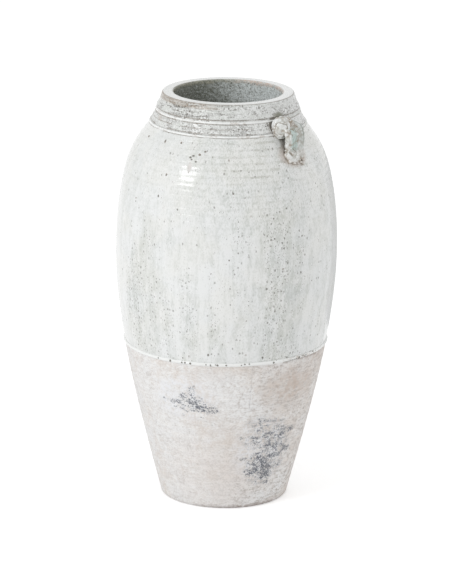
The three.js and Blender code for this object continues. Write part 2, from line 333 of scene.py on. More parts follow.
def hermite(z, z0, r0, s0, z1, r1, s1):
    """Smooth cubic from (z0, r0) to (z1, r1) with the given slopes."""
    span = z1 - z0
    t = (z - z0) / span
    u = 1 - t
    return u * u * (1 + 2 * t) * r0 + t * t * (3 - 2 * t) * r1 + t * u * span * (u * s0 - t * s1)


def spaced(start, stop, step):
    """Even steps from start to stop, start included and stop left out."""
    count = max(1, math.ceil(abs(stop - start) / step))
    return [start + (stop - start) * i / count for i in range(count)]


def rounded(start, corner, end, count):
    """Points of a quarter round from start to end through their shared corner, start included."""
    points = []
    for i in range(count):
        t = i / count
        a, b, c = (1 - t) ** 2, 2 * t * (1 - t), t * t
        points.append(tuple(a * p + b * q + c * s for p, q, s in zip(start, corner, end)))
    return points


def profile_object(name, points, skin_test):
    """Line of vertices at (radius, 0, height), each with a skin weight for how far it may be worked."""
    mesh = bpy.data.meshes.new(name)
    mesh.from_pydata([(r, 0.0, z) for r, z in points], [], [])
    weights = mesh.attributes.new("skin", "FLOAT", "POINT")
    weights.data.foreach_set("value", [skin_test(r, z) for r, z in points])
    return bpy.data.objects.new(name, mesh)


def interface(tree, inputs):
    """Named inputs of a geometry tree, and its geometry output."""
    tree.interface.new_socket("Geometry", in_out="OUTPUT", socket_type="NodeSocketGeometry")
    tree.interface.new_socket("Geometry", in_out="INPUT", socket_type="NodeSocketGeometry")
    for name, kind, default in inputs:
        socket = tree.interface.new_socket(name, in_out="INPUT", socket_type=kind)
        if default is not None:
            socket.default_value = default


# Inputs of the tree that throws a piece: name, kind and default
THROWN_INPUTS = (
    ("Profile", "NodeSocketObject", None),
    ("Sides", "NodeSocketInt", 420),
    ("Ring pitch", "NodeSocketFloat", 0.0086),
    ("Ring depth", "NodeSocketFloat", 0.0),
    ("Ring low", "NodeSocketFloat", 0.4),
    ("Ring high", "NodeSocketFloat", 0.5),
    ("Wobble", "NodeSocketFloat", 0.0),
    ("Lump depth", "NodeSocketFloat", 0.0),
    ("Lump size", "NodeSocketFloat", 0.01),
    ("Run depth", "NodeSocketFloat", 0.0),
    ("Rise", "NodeSocketFloat", 0.0),
    ("Rise azimuth", "NodeSocketFloat", 0.0),
    ("Seed", "NodeSocketFloat", 0.0),
    ("Material", "NodeSocketMaterial", None),
)
# Points closer than this are merged where a thrown piece closes
CLOSE = 0.00001


def sampled(g, line, row):
    """Radius, height and skin weight of the profile's point in a row."""
    def sample(kind, value):
        node = g.node("GeometryNodeSampleIndex", {"data_type": kind, "domain": "POINT"})
        g.feed(node.inputs["Geometry"], line)
        g.feed(node.inputs["Value"], value)
        g.feed(node.inputs["Index"], row)
        return g.out(node)

    on_line = sample("FLOAT_VECTOR", g.out(g.node("GeometryNodeInputPosition")))
    skin_node = g.node("GeometryNodeInputNamedAttribute", {"data_type": "FLOAT"}, ("skin",))
    radius, _, height = g.parts(on_line)
    return radius, height, sample("FLOAT", g.out(skin_node, "Attribute"))


def worked(g, given, place, height):
    """How far the skin moves out at a place, by throwing rings, wobble, lumps and runs of glaze."""
    shifted = g.vector_math("ADD", place, g.vector(given("Seed"), given("Seed") * 0.37, 0.0))

    # Throwing rings fade in and out round the jar
    wave = g.ring_wave(place, height, given("Ring pitch"))
    tooth = g.math("SIGN", wave) * g.math("ABSOLUTE", wave) ** 0.8
    patchy = g.noise(g.vector_math("MULTIPLY", shifted, (5.0, 5.0, 26.0)), 1.0, 1.0)
    ringed = g.ramp(height, given("Ring low"), given("Ring high")) * g.ramp(patchy, 0.3, 0.62, 0.35, 1.0)
    rings = (tooth - 1) * 0.5 * given("Ring depth") * ringed

    wobble = g.noise(shifted, 4.5, 1.0) * given("Wobble") * -1
    lumps = (g.noise(shifted, 1 / given("Lump size"), 2.0) - 0.8) * given("Lump depth")
    streaks = g.noise(g.vector_math("MULTIPLY", shifted, (42.0, 42.0, 2.6)), 1.0, 2.0)
    runs = (g.ramp(streaks, 0.42, 0.66) - 1) * given("Run depth") * g.ramp(height, 0.42, 0.26)
    return rings + wobble + lumps + runs


def thrown_tree():
    """Geometry tree that sweeps a profile's points round the axis and works its skin with rings and lumps."""
    tree = bpy.data.node_groups.new("Thrown wall", "GeometryNodeTree")
    interface(tree, THROWN_INPUTS)
    g = Graph(tree)
    source = tree.nodes.new("NodeGroupInput")

    def given(name):
        return g.out(source, name)

    line_node = g.node("GeometryNodeObjectInfo", {"transform_space": "ORIGINAL"}, (given("Profile"),))
    line = g.out(line_node, "Geometry")
    rows = g.out(g.node("GeometryNodeAttributeDomainSize", {"component": "MESH"}, (line,)), "Point Count")
    grid_node = g.node("GeometryNodeMeshGrid", values=(1.0, 1.0, given("Sides") + 1, rows + 1))
    grid = g.out(grid_node, "Mesh")

    index = g.out(g.node("GeometryNodeInputIndex"))
    column = g.math("FLOOR", (index + 0.5) / (rows + 1))
    row = g.math("MODULO", index - column * (rows + 1), rows)
    radius, height, skin = sampled(g, line, row)
    turn = g.math("MODULO", column, given("Sides")) / given("Sides") * math.tau
    across, along = g.math("COSINE", turn), g.math("SINE", turn)
    round_place = g.vector(radius * across, radius * along, height)

    out_by = worked(g, given, round_place, height) * skin
    new_radius = g.math("MAXIMUM", radius + out_by, 0.0)
    rise = given("Rise") * g.math("SINE", turn - given("Rise azimuth"))
    place = g.vector(new_radius * across, new_radius * along, height + rise)

    moved = g.out(g.node("GeometryNodeSetPosition", None, (grid, None, place)))
    closed = g.out(g.node("GeometryNodeMergeByDistance", None, (moved, None, None, CLOSE)))
    smooth = g.out(g.node("GeometryNodeSetShadeSmooth", None, (closed,)))
    whole = g.out(g.node("GeometryNodeRealizeInstances", None, (smooth,)))
    dressed = g.node("GeometryNodeSetMaterial", None, (whole, None, given("Material")))
    sink = tree.nodes.new("NodeGroupOutput")
    tree.links.new(dressed.outputs[0], sink.inputs[0])
    return tree


def set_inputs(modifier, tree, values):
    """Sets a modifier's inputs by their sockets' identifiers."""
    identifiers = {item.name: item.identifier for item in tree.interface.items_tree
                   if item.in_out == "INPUT"}
    for name, value in values.items():
        modifier[identifiers[name]] = value


def throw(name, points, skin, material, **inputs):
    """A closed piece thrown from its profile, as a plain mesh."""
    tree = bpy.data.node_groups.get("Thrown wall") or thrown_tree()
    line = profile_object(name + "_profile", points, skin)
    piece = placed(name, bpy.data.meshes.new(name))
    modifier = piece.modifiers.new("Throw", "NODES")
    modifier.node_group = tree
    values = {key.replace("_", " ").capitalize(): value for key, value in inputs.items()}
    set_inputs(modifier, tree, {"Profile": line, "Material": material, **values})
    plain(piece, material)
    bpy.data.objects.remove(line)
    return piece


def plain(piece, material):
    """Turns what an object's modifiers make into its own mesh, in one material, and removes them."""
    graph = bpy.context.evaluated_depsgraph_get()
    result = bpy.data.meshes.new_from_object(piece.evaluated_get(graph))
    piece.modifiers.clear()
    piece.data = result
    result.materials.clear()
    result.materials.append(material)


# The skin of the lugs

# Beads of glaze that hang below a lug's tail: place across, drop below its middle, and size
TAIL_BEADS = ((-0.012, 0.0070, 0.006), (-0.005, 0.0100, 0.006), (0.002, 0.0105, 0.005),
              (0.008, 0.0105, 0.006), (0.014, 0.0075, 0.006), (0.011, 0.0135, 0.004))
BEAD_SIZE = 0.0068
CREASE_DEPTH = 0.0013
FURROW_DEPTH = 0.0016
FURROW_WIDTH = 0.0010
LUMP_HEIGHT = 0.0016
# The whole skin is raised a little, to make up for its creases and furrows
SKIN_RISE = 0.0006


def beaded(place, shift, size):
    """How far a point lies inside its bead of glaze, from 0 between the beads to 1."""
    near, next_near = noise.voronoi(place / size + shift)[0][:2]
    return min(1.0, (next_near - near) / 0.45)


def weather(mesh, wall, rings, seed):
    """Melts a lug's surface into beads and furrows, and keeps what its material is painted by.

    Each ring is a round furrow, given by its middle on the surface and its radius.
    """
    noise.seed_set(seed)
    shift = Vector((seed * 1.7, seed * 0.9, seed * 0.4))
    beads, crests, stands, moves = [], [], [], []
    for vertex in mesh.vertices:
        place = vertex.co
        pushed = place + noise.noise_vector(place * 110 + shift) * 0.0030
        pushed = pushed + noise.noise_vector(place * 300) * 0.0010
        near = max(0.0, 1 - min((place - middle).length - radius for middle, radius in rings) / 0.004)
        patchy = max(0.0, min(1.0, 0.75 + 1.8 * noise.noise(place * 80 - shift)))
        patchy = patchy * (1 - min(1.0, near) * 0.35)
        crease = (1 - beaded(pushed, shift, BEAD_SIZE)) * patchy
        lumps = noise.noise(place * 95 + shift) * 0.6 + noise.noise(place * 260 + shift) * 0.5
        furrow = max(math.exp(-(((pushed - middle).length - radius) / FURROW_WIDTH) ** 2)
                     for middle, radius in rings)
        furrow = furrow * max(0.15, min(1.0, 0.62 + 2.4 * noise.noise(place * 120 + shift)))
        rise = lumps * LUMP_HEIGHT - crease * CREASE_DEPTH - furrow * FURROW_DEPTH
        stands.append(math.hypot(place.x, place.y) - wall.outer(place.z))
        beads.append((1 - crease) * (1 - furrow))
        crests.append(0.5 + lumps)
        moves.append(rise + SKIN_RISE)
    for name, values in (("bead", beads), ("crest", crests), ("stand", stands)):
        mesh.attributes.new(name, "FLOAT", "POINT").data.foreach_set("value", values)
    normals = [vertex.normal.copy() for vertex in mesh.vertices]
    for vertex, normal, move in zip(mesh.vertices, normals, moves):
        vertex.co += normal * move


def seat(piece, slot, *nodes):
    """Rides a piece on the frame in place of its nodes."""
    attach(piece, "root")
    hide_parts(*nodes)


# Materials


# Larger iron spots in the glaze: degrees and height of each, its half width in degrees and half height
IRON_SPOTS = ((-39.9, 0.4640, 0.75, 0.0022), (3.3, 0.4763, 0.70, 0.0016),
              (-46.7, 0.5347, 1.10, 0.0030), (-67.2, 0.5334, 1.30, 0.0018),
              (-33.0, 0.5365, 0.90, 0.0016), (-23.4, 0.5205, 1.20, 0.0016),
              (-21.7, 0.5228, 1.30, 0.0015), (-22.4, 0.5182, 0.80, 0.0012),
              (-17.8, 0.5250, 1.10, 0.0018), (-14.5, 0.5290, 0.90, 0.0014),
              (-19.5, 0.5160, 0.90, 0.0016), (21.0, 0.2390, 0.75, 0.0018),
              (36.6, 0.2340, 0.75, 0.0016), (-24.0, 0.2360, 0.45, 0.0014))
# Zones of thin glaze: degrees and height of the apex, and the degrees of both sides at the glaze line
THIN_ZONES = ((-45.0, 0.450, -64.0, -30.0), (27.0, 0.465, 18.0, 45.0), (-5.0, 0.300, -10.0, -0.5),
              (150.0, 0.430, 120.0, 172.0), (-130.0, 0.470, -150.0, -112.0))
# Upright bands of crowded specks: degrees, half width in degrees, top, foot and weight of each
CROWDED_BANDS = ((25.5, 6.5, 0.449, 0.240, 1.0), (40.0, 4.0, 0.415, 0.325, 0.65),
                 (-20.5, 4.5, 0.365, 0.255, 0.75), (-29.5, 2.6, 0.440, 0.400, 0.7),
                 (6.0, 3.5, 0.440, 0.325, 0.45), (-5.5, 2.6, 0.325, 0.245, 0.6),
                 (-31.0, 4.0, 0.340, 0.255, 0.5), (128.0, 8.0, 0.440, 0.245, 0.8),
                 (-57.0, 7.0, 0.385, 0.240, 0.62), (-43.0, 3.5, 0.340, 0.240, 0.5),
                 (-150.0, 7.0, 0.420, 0.240, 0.8), (-98.0, 5.0, 0.400, 0.240, 0.6))
# Upright bands of thick white runs, given in the same way
WHITE_BANDS = ((-11.0, 2.4, 0.370, 0.235, 1.0), (2.0, 1.6, 0.325, 0.235, 0.8),
               (44.5, 2.2, 0.305, 0.240, 0.8), (57.0, 2.2, 0.330, 0.250, 0.6),
               (-26.5, 1.8, 0.300, 0.240, 0.6), (110.0, 3.0, 0.360, 0.235, 1.0),
               (-120.0, 3.0, 0.360, 0.235, 1.0))
# Burst bubbles along the roll: degrees, half height
ROLL_PITS = ((-31.7, 0.0016), (-24.5, 0.0013), (-22.6, 0.0013), (-19.5, 0.0015), (-8.0, 0.0010),
             (-4.1, 0.0014), (0.6, 0.0013), (27.7, 0.0015), (45.5, 0.0017), (9.0, 0.0009),
             (-40.0, 0.0010))
# Scuffs on the bare clay: start and end in degrees and height, half width and weight of each stroke
FIRST_SCUFF = (((-40.5, 0.1685), (-33.0, 0.1665), 0.0045, 0.60),
               ((-28.5, 0.1685), (-27.0, 0.1630), 0.0050, 1.05),
               ((-27.5, 0.1775), (-19.5, 0.1665), 0.0065, 0.80),
               ((-21.0, 0.1670), (-10.5, 0.1590), 0.0065, 1.00),
               ((-12.0, 0.1580), (-4.5, 0.1545), 0.0050, 0.70),
               ((-34.5, 0.1580), (-14.5, 0.1540), 0.0024, 0.68),
               ((-20.7, 0.1880), (-20.0, 0.1780), 0.0100, 0.45),
               ((-27.8, 0.1480), (-26.8, 0.1480), 0.0026, 0.70),
               ((-13.6, 0.1465), (-13.0, 0.1460), 0.0022, 0.70),
               ((-33.0, 0.1668), (-28.0, 0.1640), 0.0030, 0.75))
SECOND_SCUFF = (((11.5, 0.1138), (27.5, 0.1130), 0.0044, 0.70),
                ((53.8, 0.1172), (41.6, 0.1162), 0.0058, 0.86),
                ((43.5, 0.1152), (32.5, 0.1007), 0.0125, 0.90),
                ((29.0, 0.0972), (52.0, 0.0887), 0.0060, 0.76),
                ((52.6, 0.0852), (30.8, 0.0757), 0.0058, 0.98),
                ((12.7, 0.0804), (30.7, 0.0772), 0.0026, 0.78),
                ((32.0, 0.0732), (33.5, 0.0552), 0.0175, 1.25),
                ((17.5, 0.0532), (35.1, 0.0552), 0.0036, 1.00),
                ((35.1, 0.0542), (36.5, 0.0392), 0.0075, 0.90),
                ((23.4, 0.1402), (24.2, 0.1212), 0.0050, 0.58),
                ((27.1, 0.1393), (41.9, 0.1352), 0.0032, 0.55),
                ((23.0, 0.0742), (22.5, 0.0592), 0.0058, 0.85),
                ((16.0, 0.0592), (26.0, 0.0602), 0.0040, 0.75))
# Rubbed patches round the scuffs: degrees, half width in degrees, height, half height and weight of each
SCUFF_RUBS = ((-21.5, 11.0, 0.1700, 0.015, 0.58), (-12.5, 10.0, 0.1615, 0.011, 0.60),
              (30.0, 16.0, 0.0650, 0.033, 0.88), (37.0, 17.0, 0.1050, 0.030, 0.74),
              (22.0, 11.0, 0.1060, 0.014, 0.60), (25.0, 15.0, 0.1320, 0.017, 0.34),
              (44.0, 8.0, 0.0630, 0.018, 0.42))
# Brown stains on the bare clay, given in the same way
EARTH_STAINS = ((43.0, 26.0, 0.188, 0.040, 1.5), (8.0, 32.0, 0.055, 0.060, 0.35),
                (65.0, 30.0, 0.222, 0.020, 1.0), (-3.0, 18.0, 0.216, 0.016, 0.4))

# Tints of the glaze, beside those that the panel gives
GATHERED = (0.88, 0.89, 0.88)
STRAW = (0.72, 0.68, 0.58)
COOL_TINGE = (0.60, 0.66, 0.76)
OLIVE = (0.44, 0.41, 0.34)
GLINT = (0.90, 0.91, 0.905)
LUG_SHADE = (0.20, 0.18, 0.14)
DULL_PINK = (0.60, 0.50, 0.48)
LIP_BROWN = (0.34, 0.26, 0.19)
LUG_GAP_POOL_AND_SHADE = (0.23, 0.23, 0.18)
PAINTED_LIT_THROAT = (0.780, 0.830, 0.830)
THROAT_POCK = (0.10, 0.10, 0.075)
LEFT_MOUTH = (0.33, 0.31, 0.22)
RIGHT_MOUTH = (0.52, 0.34, 0.24)
LUG_BROWN = (0.270, 0.215, 0.155)
LUG_FAR_SIDE_SHADE = (0.46, 0.52, 0.50)
LUG_FAR_EDGE_SHADE = (0.20, 0.23, 0.19)
LUG_PALE_FOOT = (0.80, 0.74, 0.70)
# Tints of the bare clay
COOL_WIPE = (0.60, 0.63, 0.68)
PINK_CLAY = (0.76, 0.66, 0.60)
DARK_GRIT = (0.50, 0.46, 0.43)
PALE_GRIT = (0.90, 0.88, 0.86)
PALE_HALO = (0.84, 0.85, 0.88)
FAINT_SCUFF = (0.42, 0.44, 0.47)

GLAZE_IOR = 1.5
CLAY_IOR = 1.45


class Surface(Graph):
    """A material's graph, with the places that its patterns are drawn by."""

    def __init__(self, name, girth=0.150):
        self.material = bpy.data.materials.new(name)
        self.material.use_nodes = True
        super().__init__(self.material.node_tree)
        self.shader = self.tree.nodes["Principled BSDF"]
        self.base = None
        self.place = self.out(self.node("ShaderNodeTexCoord"), "Object")
        self.x, self.y, self.z = self.parts(self.place)
        azimuth = bpy.context.scene.jar_studio.azimuth
        front = (math.sin(azimuth), -math.cos(azimuth))
        right = (math.cos(azimuth), math.sin(azimuth))
        # Degrees round the jar from the line that faces the camera, to the right
        across = self.x * right[0] + self.y * right[1]
        toward = self.x * front[0] + self.y * front[1]
        turn = self.math("ARCTAN2", across, toward)
        self.round = turn * (180 / math.pi)
        self.girth = girth
        self.flat = self.vector(turn * girth, self.z, 0.0)

    def streaks(self, level, upright, detail=2.0, roughness=0.55):
        """Noise with so many cycles to the metre level and upright, drawn out the way that has fewer."""
        place = self.vector_math("MULTIPLY", self.place, (level, level, upright))
        return self.noise(place, 1.0, detail, roughness)

    def held(self, value, low=0.0, high=1.0):
        return self.math("MINIMUM", self.math("MAXIMUM", value, low), high)

    def most(self, *values):
        result = values[0]
        for value in values[1:]:
            result = self.math("MAXIMUM", result, value)
        return result

    def patch(self, degrees, half_width, z, half_height):
        """Hump of 1 at a place on the wall, which falls to 0 at its half width and half height."""
        across, up = (self.round - degrees) / half_width, (self.z - z) / half_height
        return self.held(1 - (across * across + up * up))

    def patches(self, places):
        """The most of several patches, each at its weight."""
        return self.most(*(self.patch(*place) * weight for *place, weight in places))

    def wedge(self, ragged, apex, top, left, right):
        """Zone of thin glaze that widens from its apex down to the glaze line, with ragged running edges."""
        fall = self.held((top - self.z) / (top - LINE_Z), 0.0001)
        spread = fall ** 0.45
        rough = (ragged - 0.5) * 22
        inside = self.ramp(self.round - apex + spread * (apex - left) + rough, -4.0, 4.0)
        inside = inside * self.ramp(apex - self.round + spread * (right - apex) - rough, -4.0, 4.0)
        return inside * self.ramp(fall, 0.0, 0.25)

    def column(self, ragged, degrees, half_width, top, foot):
        """Upright band of the wall between two heights, with ragged sides."""
        across = self.math("ABSOLUTE", self.round - degrees + (ragged - 0.5) * half_width * 2.5)
        inside = self.ramp(across, half_width * 1.25, half_width * 0.6)
        inside = inside * self.ramp(self.z, foot - 0.012, foot + 0.012)
        return inside * self.ramp(self.z, top + 0.014, top - 0.014)

    def bands(self, ragged, rows):
        """The most of several upright bands, each at its weight."""
        return self.most(*(self.column(ragged, *row) * weight for *row, weight in rows))

    def pushed(self, scale, reach, detail=1.0):
        """Place on the unrolled wall, moved about by noise."""
        noise = self.node("ShaderNodeTexNoise", None, Vector=self.place, Scale=scale, Detail=detail)
        push = self.vector_math("SUBTRACT", self.out(noise, "Color"), (0.5, 0.5, 0.5))
        return self.vector_math("ADD", self.flat, self.vector_math("MULTIPLY", push, (reach, reach, 0.0)))

    def strokes(self, place, strokes):
        """Brushed lines on the unrolled wall, each from a start to an end and at a weight."""
        marks = []
        for start, end, half, weight in strokes:
            x, up = math.radians(start[0]) * self.girth, start[1]
            along, rise = math.radians(end[0]) * self.girth - x, end[1] - up
            away = self.vector_math("SUBTRACT", place, (x, up, 0.0))
            share = self.vector_math("DOT_PRODUCT", away, (along, rise, 0.0), output=1)
            share = self.held(share / (along * along + rise * rise))
            near = self.vector(share * along, share * rise, 0.0)
            apart = self.vector_math("DISTANCE", away, near, output=1)
            marks.append(self.ramp(apart, half, half * 0.15) * weight)
        return self.most(*marks)

    def specks(self, cell, radius, share, tall, soft, ragged):
        """Round or tall specks on the unrolled wall, one at most to a cell, in a share of the cells."""
        place = self.pushed(0.7 / radius, ragged)
        place = self.vector_math("MULTIPLY", place, (1.0, 1 / tall, 1.0))
        settings = {"feature": "F1", "voronoi_dimensions": "2D"}
        node = self.node("ShaderNodeTexVoronoi", settings, Vector=place, Scale=1 / cell)
        chance, size, depth = self.parts(self.out(node, "Color"))
        reach = (size * 0.8 + 0.4) * (radius / cell)
        body = self.ramp(self.out(node, "Distance") / reach, 1.0, 1.0 - soft)
        return body * self.math("LESS_THAN", chance, share) * (depth * 0.55 + 0.45)

    def sideways(self, start, end):
        """Share that changes from one place round the jar to another, and fades out again at the back."""
        seen = self.ramp(self.math("ABSOLUTE", self.round), 174.0, 110.0)
        return self.ramp(self.round, start, end) * seen

    def spread(self, noise, reach=0.14):
        """Noise spread out to fill 0 to 1 about evenly."""
        return self.ramp(noise, 0.5 - reach, 0.5 + reach)

    def line(self, z, half, faint=0.0):
        """Thin level line at a height, broken where faint is more than 0."""
        line = self.ramp(self.math("ABSOLUTE", self.z - z), half, half * 0.4)
        broken = self.noise(self.place, 40.0, 3.0, 0.6)
        return line * self.ramp(broken, 0.30 + faint * 0.25, 0.45 + faint * 0.25)

    def squiggles(self, scale, width):
        """Thin wandering lines, as of crawled or crackled glaze."""
        noise = self.noise(self.place, scale, 2.0, 0.5, 0.6)
        return self.ramp(self.math("ABSOLUTE", noise - 0.5), width, 0.0)

    def lug_side(self):
        """Distance to the side of the middle of the nearer lug, the same way round on both."""
        turn = bpy.context.scene.jar_lug.left_turn
        turned = self.y * math.cos(turn) - self.x * math.sin(turn)
        return self.y + (turned - self.y) * self.math("LESS_THAN", self.x, 0.0)

    def lug_clearance(self):
        """Distance over the wall from the outline of the nearest ear or tail of a lug, and from the large ear
        alone.
        """
        lug = bpy.context.scene.jar_lug
        side = self.lug_side()
        head_z = COLLAR_Z - lug.head_drop

        def clear(y, z, width, height, share):
            across, up = (side - y) / (width * share / 2), (self.z - z) / (height * share / 2)
            return (self.math("SQRT", across * across + up * up) - 1) * (min(width, height) * share / 2)

        # The ears meet the wall in rounds smaller than their full size
        large = clear(-lug.ear_offset, head_z, lug.ear_width, lug.head_height, 0.54)
        small = clear(lug.ear_offset, head_z - lug.small_ear_drop, lug.ear_width, lug.head_height, 0.50)
        tail = clear(0.0, COLLAR_Z - lug.tail_drop, lug.tail_width, lug.tail_height, 0.97)
        return self.math("MINIMUM", self.math("MINIMUM", large, small), tail), large

    def coat(self, share, colour):
        """Lays a share of a colour over the base colour."""
        self.base = self.mix(share, self.base, colour)

    def finish(self, roughness, height, depth, ior=GLAZE_IOR):
        """Joins base colour, roughness and bump to the shader, and sets how strongly it bends light."""
        self.feed(self.shader.inputs["Base Color"], self.base)
        self.feed(self.shader.inputs["Roughness"], roughness)
        bump = self.node("ShaderNodeBump", None, Strength=1.0, Distance=depth, Height=height)
        self.tree.links.new(bump.outputs[0], self.shader.inputs["Normal"])
        self.shader.inputs["IOR"].default_value = ior
        return self.material


def run_marks(s, ragged, fibres, low):
    """Zones of thin glaze, bands of crowded specks, and white runs of thick glaze."""
    broad = s.streaks(26.0, 2.4)
    runs = s.streaks(74.0, 4.5, 2.0, 0.5)
    zones = s.most(*(s.wedge(ragged, *zone) for zone in THIN_ZONES))
    crowded = s.bands(ragged, CROWDED_BANDS)
    bright = s.bands(ragged, WHITE_BANDS)
    upper_runs = s.ramp(runs + (broad - 0.5) * 0.5, 0.58, 0.74) * s.ramp(s.z, 0.50, 0.40) * 0.6
    white_runs = s.most(s.ramp(runs, 0.52, 0.70) * low, upper_runs)
    white_runs = s.most(white_runs * (1 - crowded * 0.6), bright * s.ramp(fibres, 0.25, 0.45))
    return broad, zones, crowded, white_runs


def ring_marks(s, high):
    """Furrows and lines of the throwing rings, and the broken dashes where specks gather in them."""
    wave = s.ring_wave(s.place, s.z, bpy.context.scene.jar_shape.ring_pitch)
    furrow = s.ramp(wave, -0.70, -0.97) * high
    lines = s.ramp(wave, 0.0, -0.95) * (high * 0.78 + 0.22)
    dashes = lines * s.ramp(s.streaks(40.0, 150.0), 0.46, 0.60)
    dashes = dashes * (0.45 + s.ramp(s.round, -20.0, 8.0) * s.ramp(s.round, 44.0, 26.0) * 0.55)
    dashes = dashes * (0.35 + s.ramp(s.z, 0.478, 0.500) * 0.65)
    return furrow, lines, dashes


def glaze_specks(s, crowd, crowded, high, upper_right, blots, grain):
    """Grey specks of two sizes, and larger iron spots, strewn and at their own places."""
    small = s.specks(0.0028, 0.00085, crowd * 0.85, 1.5, 0.6, 0.0012)
    middle = s.specks(0.0050, 0.00135, crowd * 0.85 + 0.012 + upper_right * 0.05, 1.5, 0.6, 0.0022)
    grey = s.held(small * (0.36 + crowded * 0.15) + middle * (0.64 + crowded * 0.22 + upper_right * 0.25))
    burnt = s.most(*(s.patch(degrees, wide, z, tall) for degrees, z, wide, tall in IRON_SPOTS))
    burnt = s.ramp(burnt + (blots - 0.5) * 0.6 + (grain - 0.5) * 1.6, 0.20, 0.65)
    return grey, s.most(s.specks(0.026, 0.0018, 0.20 + high * 0.16, 1.2, 0.5, 0.0018), burnt)


def body_edges(s, cloud, blots, iron, rust):
    """Browns the glaze round the lugs with iron and painted contact shade, paints shade on the wall behind
    their straps, and lays iron with painted shade under the lower cordon.
    """
    clearance, _ = s.lug_clearance()
    # Rust and iron round the lugs' feet, which also stand in for painted contact shade where the lugs meet the
    # wall
    lug_edge_stain_and_shade = clearance + (cloud - 0.5) * 0.006 + (blots - 0.5) * 0.003
    s.coat(s.ramp(lug_edge_stain_and_shade, 0.0085, 0.001) * 0.42, rust)
    s.coat(s.ramp(lug_edge_stain_and_shade, 0.0018, -0.001) * 0.70, iron)
    # Painted shade: the wall behind each lug strap is darkened where the strap's shadow falls
    behind = s.ramp(s.math("ABSOLUTE", s.lug_side() + 0.003), 0.013, 0.008)
    behind = behind * s.ramp(s.z + (cloud - 0.5) * 0.006, 0.524, 0.531)
    s.coat(behind * 0.62, LUG_SHADE)
    # Iron and rust with painted shade in a thin line under the lower cordon
    s.coat(s.line(LOWER_CORDON[0] - 0.0012, 0.0010, 0.2) * 0.55, s.mix(cloud * 0.6, iron, rust))


def body_glaze(name):
    """Pale running glaze: thin speckled zones between white runs, and rings where it breaks thin."""
    thick, thin, iron, rust = tints("thick_glaze", "thin_glaze", "iron", "rust")
    s = Surface(name)
    ragged = s.streaks(34.0, 4.5, 3.0, 0.6)
    columns = s.ramp(s.streaks(58.0, 8.0, 2.0, 0.5), 0.50, 0.62)
    fibres = s.streaks(230.0, 20.0, 3.0, 0.6)
    cloud = s.noise(s.place, 38.0, 4.0, 0.6)
    blots = s.streaks(120.0, 52.0, 3.0, 0.6)
    grain = s.streaks(560.0, 260.0, 2.0, 0.6)

    low, high = s.ramp(s.z, 0.430, 0.290), s.ramp(s.z, 0.40, 0.47)
    rightward = s.sideways(-20.0, 20.0)
    broad, zones, crowded, white_runs = run_marks(s, ragged, fibres, low)
    furrow, lines, dashes = ring_marks(s, high)

    crowd = 0.025 + zones * s.ramp(cloud, 0.40, 0.58) * 0.42 + dashes * (0.28 + rightward * 0.24)
    crowd = crowd + columns * (low * 0.30 + zones * 0.25 + 0.06) + crowded * s.ramp(blots, 0.34, 0.50) * 0.60
    crowd = crowd + s.ramp(cloud, 0.52, 0.68) * 0.12
    crowd = s.held(crowd + s.ramp(s.z, LINE_Z + 0.012, LINE_Z + 0.003) * 0.15) * (1 - white_runs * 0.7)

    central = s.ramp(s.round, -32.0, -8.0) * s.ramp(s.round, 40.0, 20.0)
    contrast = s.sideways(-45.0, 5.0) * high * 0.8 + rightward * 0.3 + crowded * 0.5 + 0.9
    contrast = contrast + s.sideways(20.0, 45.0) * high * 0.5
    thickness = 0.80 - zones * 0.26 - dashes * (0.12 + rightward * 0.26) - lines * (0.04 + central * 0.12)
    thickness = thickness + white_runs * 0.38 - columns * 0.09 - crowded * 0.10
    thickness = thickness - s.patch(-12.0, 42.0, 0.520, 0.065) * 0.16
    thickness = thickness + s.patch(4.0, 14.0, 0.360, 0.110) * 0.22
    thickness = thickness + (cloud - 0.5) * 0.7 + (broad - 0.5) * 0.8 + (fibres - 0.5) * (0.8 + low * 0.5)
    blotted = (blots - 0.5) * (1.8 - high * 0.9)
    thickness = s.held(thickness + (blotted + (grain - 0.5) * (1.5 + high * 0.3)) * contrast, -0.6, 1.25)
    s.base = s.mix(thickness, thin, thick)

    grey, large = glaze_specks(s, crowd, crowded, high, high * rightward, blots, grain)
    tinge = s.spread(s.noise(s.place, 24.0, 2.0))
    s.coat(tinge * 0.08 + high * rightward * 0.05, STRAW)
    s.coat((1 - tinge) * 0.06, COOL_TINGE)
    s.coat(dashes * rightward * 0.20, OLIVE)
    # Painted highlights: tiny pale glints that stand in for the glaze catching the light
    s.coat(s.specks(0.0040, 0.0011, s.held(crowd * 1.2), 1.7, 0.7, 0.0016) * 0.55, GLINT)
    s.coat(grey, iron)
    s.coat(large * 0.88, s.mix(s.ramp(blots, 0.50, 0.6) * 0.4, iron, rust))
    body_edges(s, cloud, blots, iron, rust)

    matt = s.patch(-22.8, 1.8, 0.508, 0.008)
    s.coat(matt * 0.35, DULL_PINK)
    height = s.noise(s.place, 130.0, 2.0, 0.5) * 0.22 + blots * 0.16 + white_runs * 0.25 + grain * 0.10
    height = height - grey * 0.30 - large * 0.5 - furrow * 0.30
    roughness = 0.16 - thickness * 0.07 + lines * 0.08 + grey * 0.2 + large * 0.3
    return s.finish(roughness + s.ramp(matt, 0.1, 0.4) * 0.4, height, 0.0005)


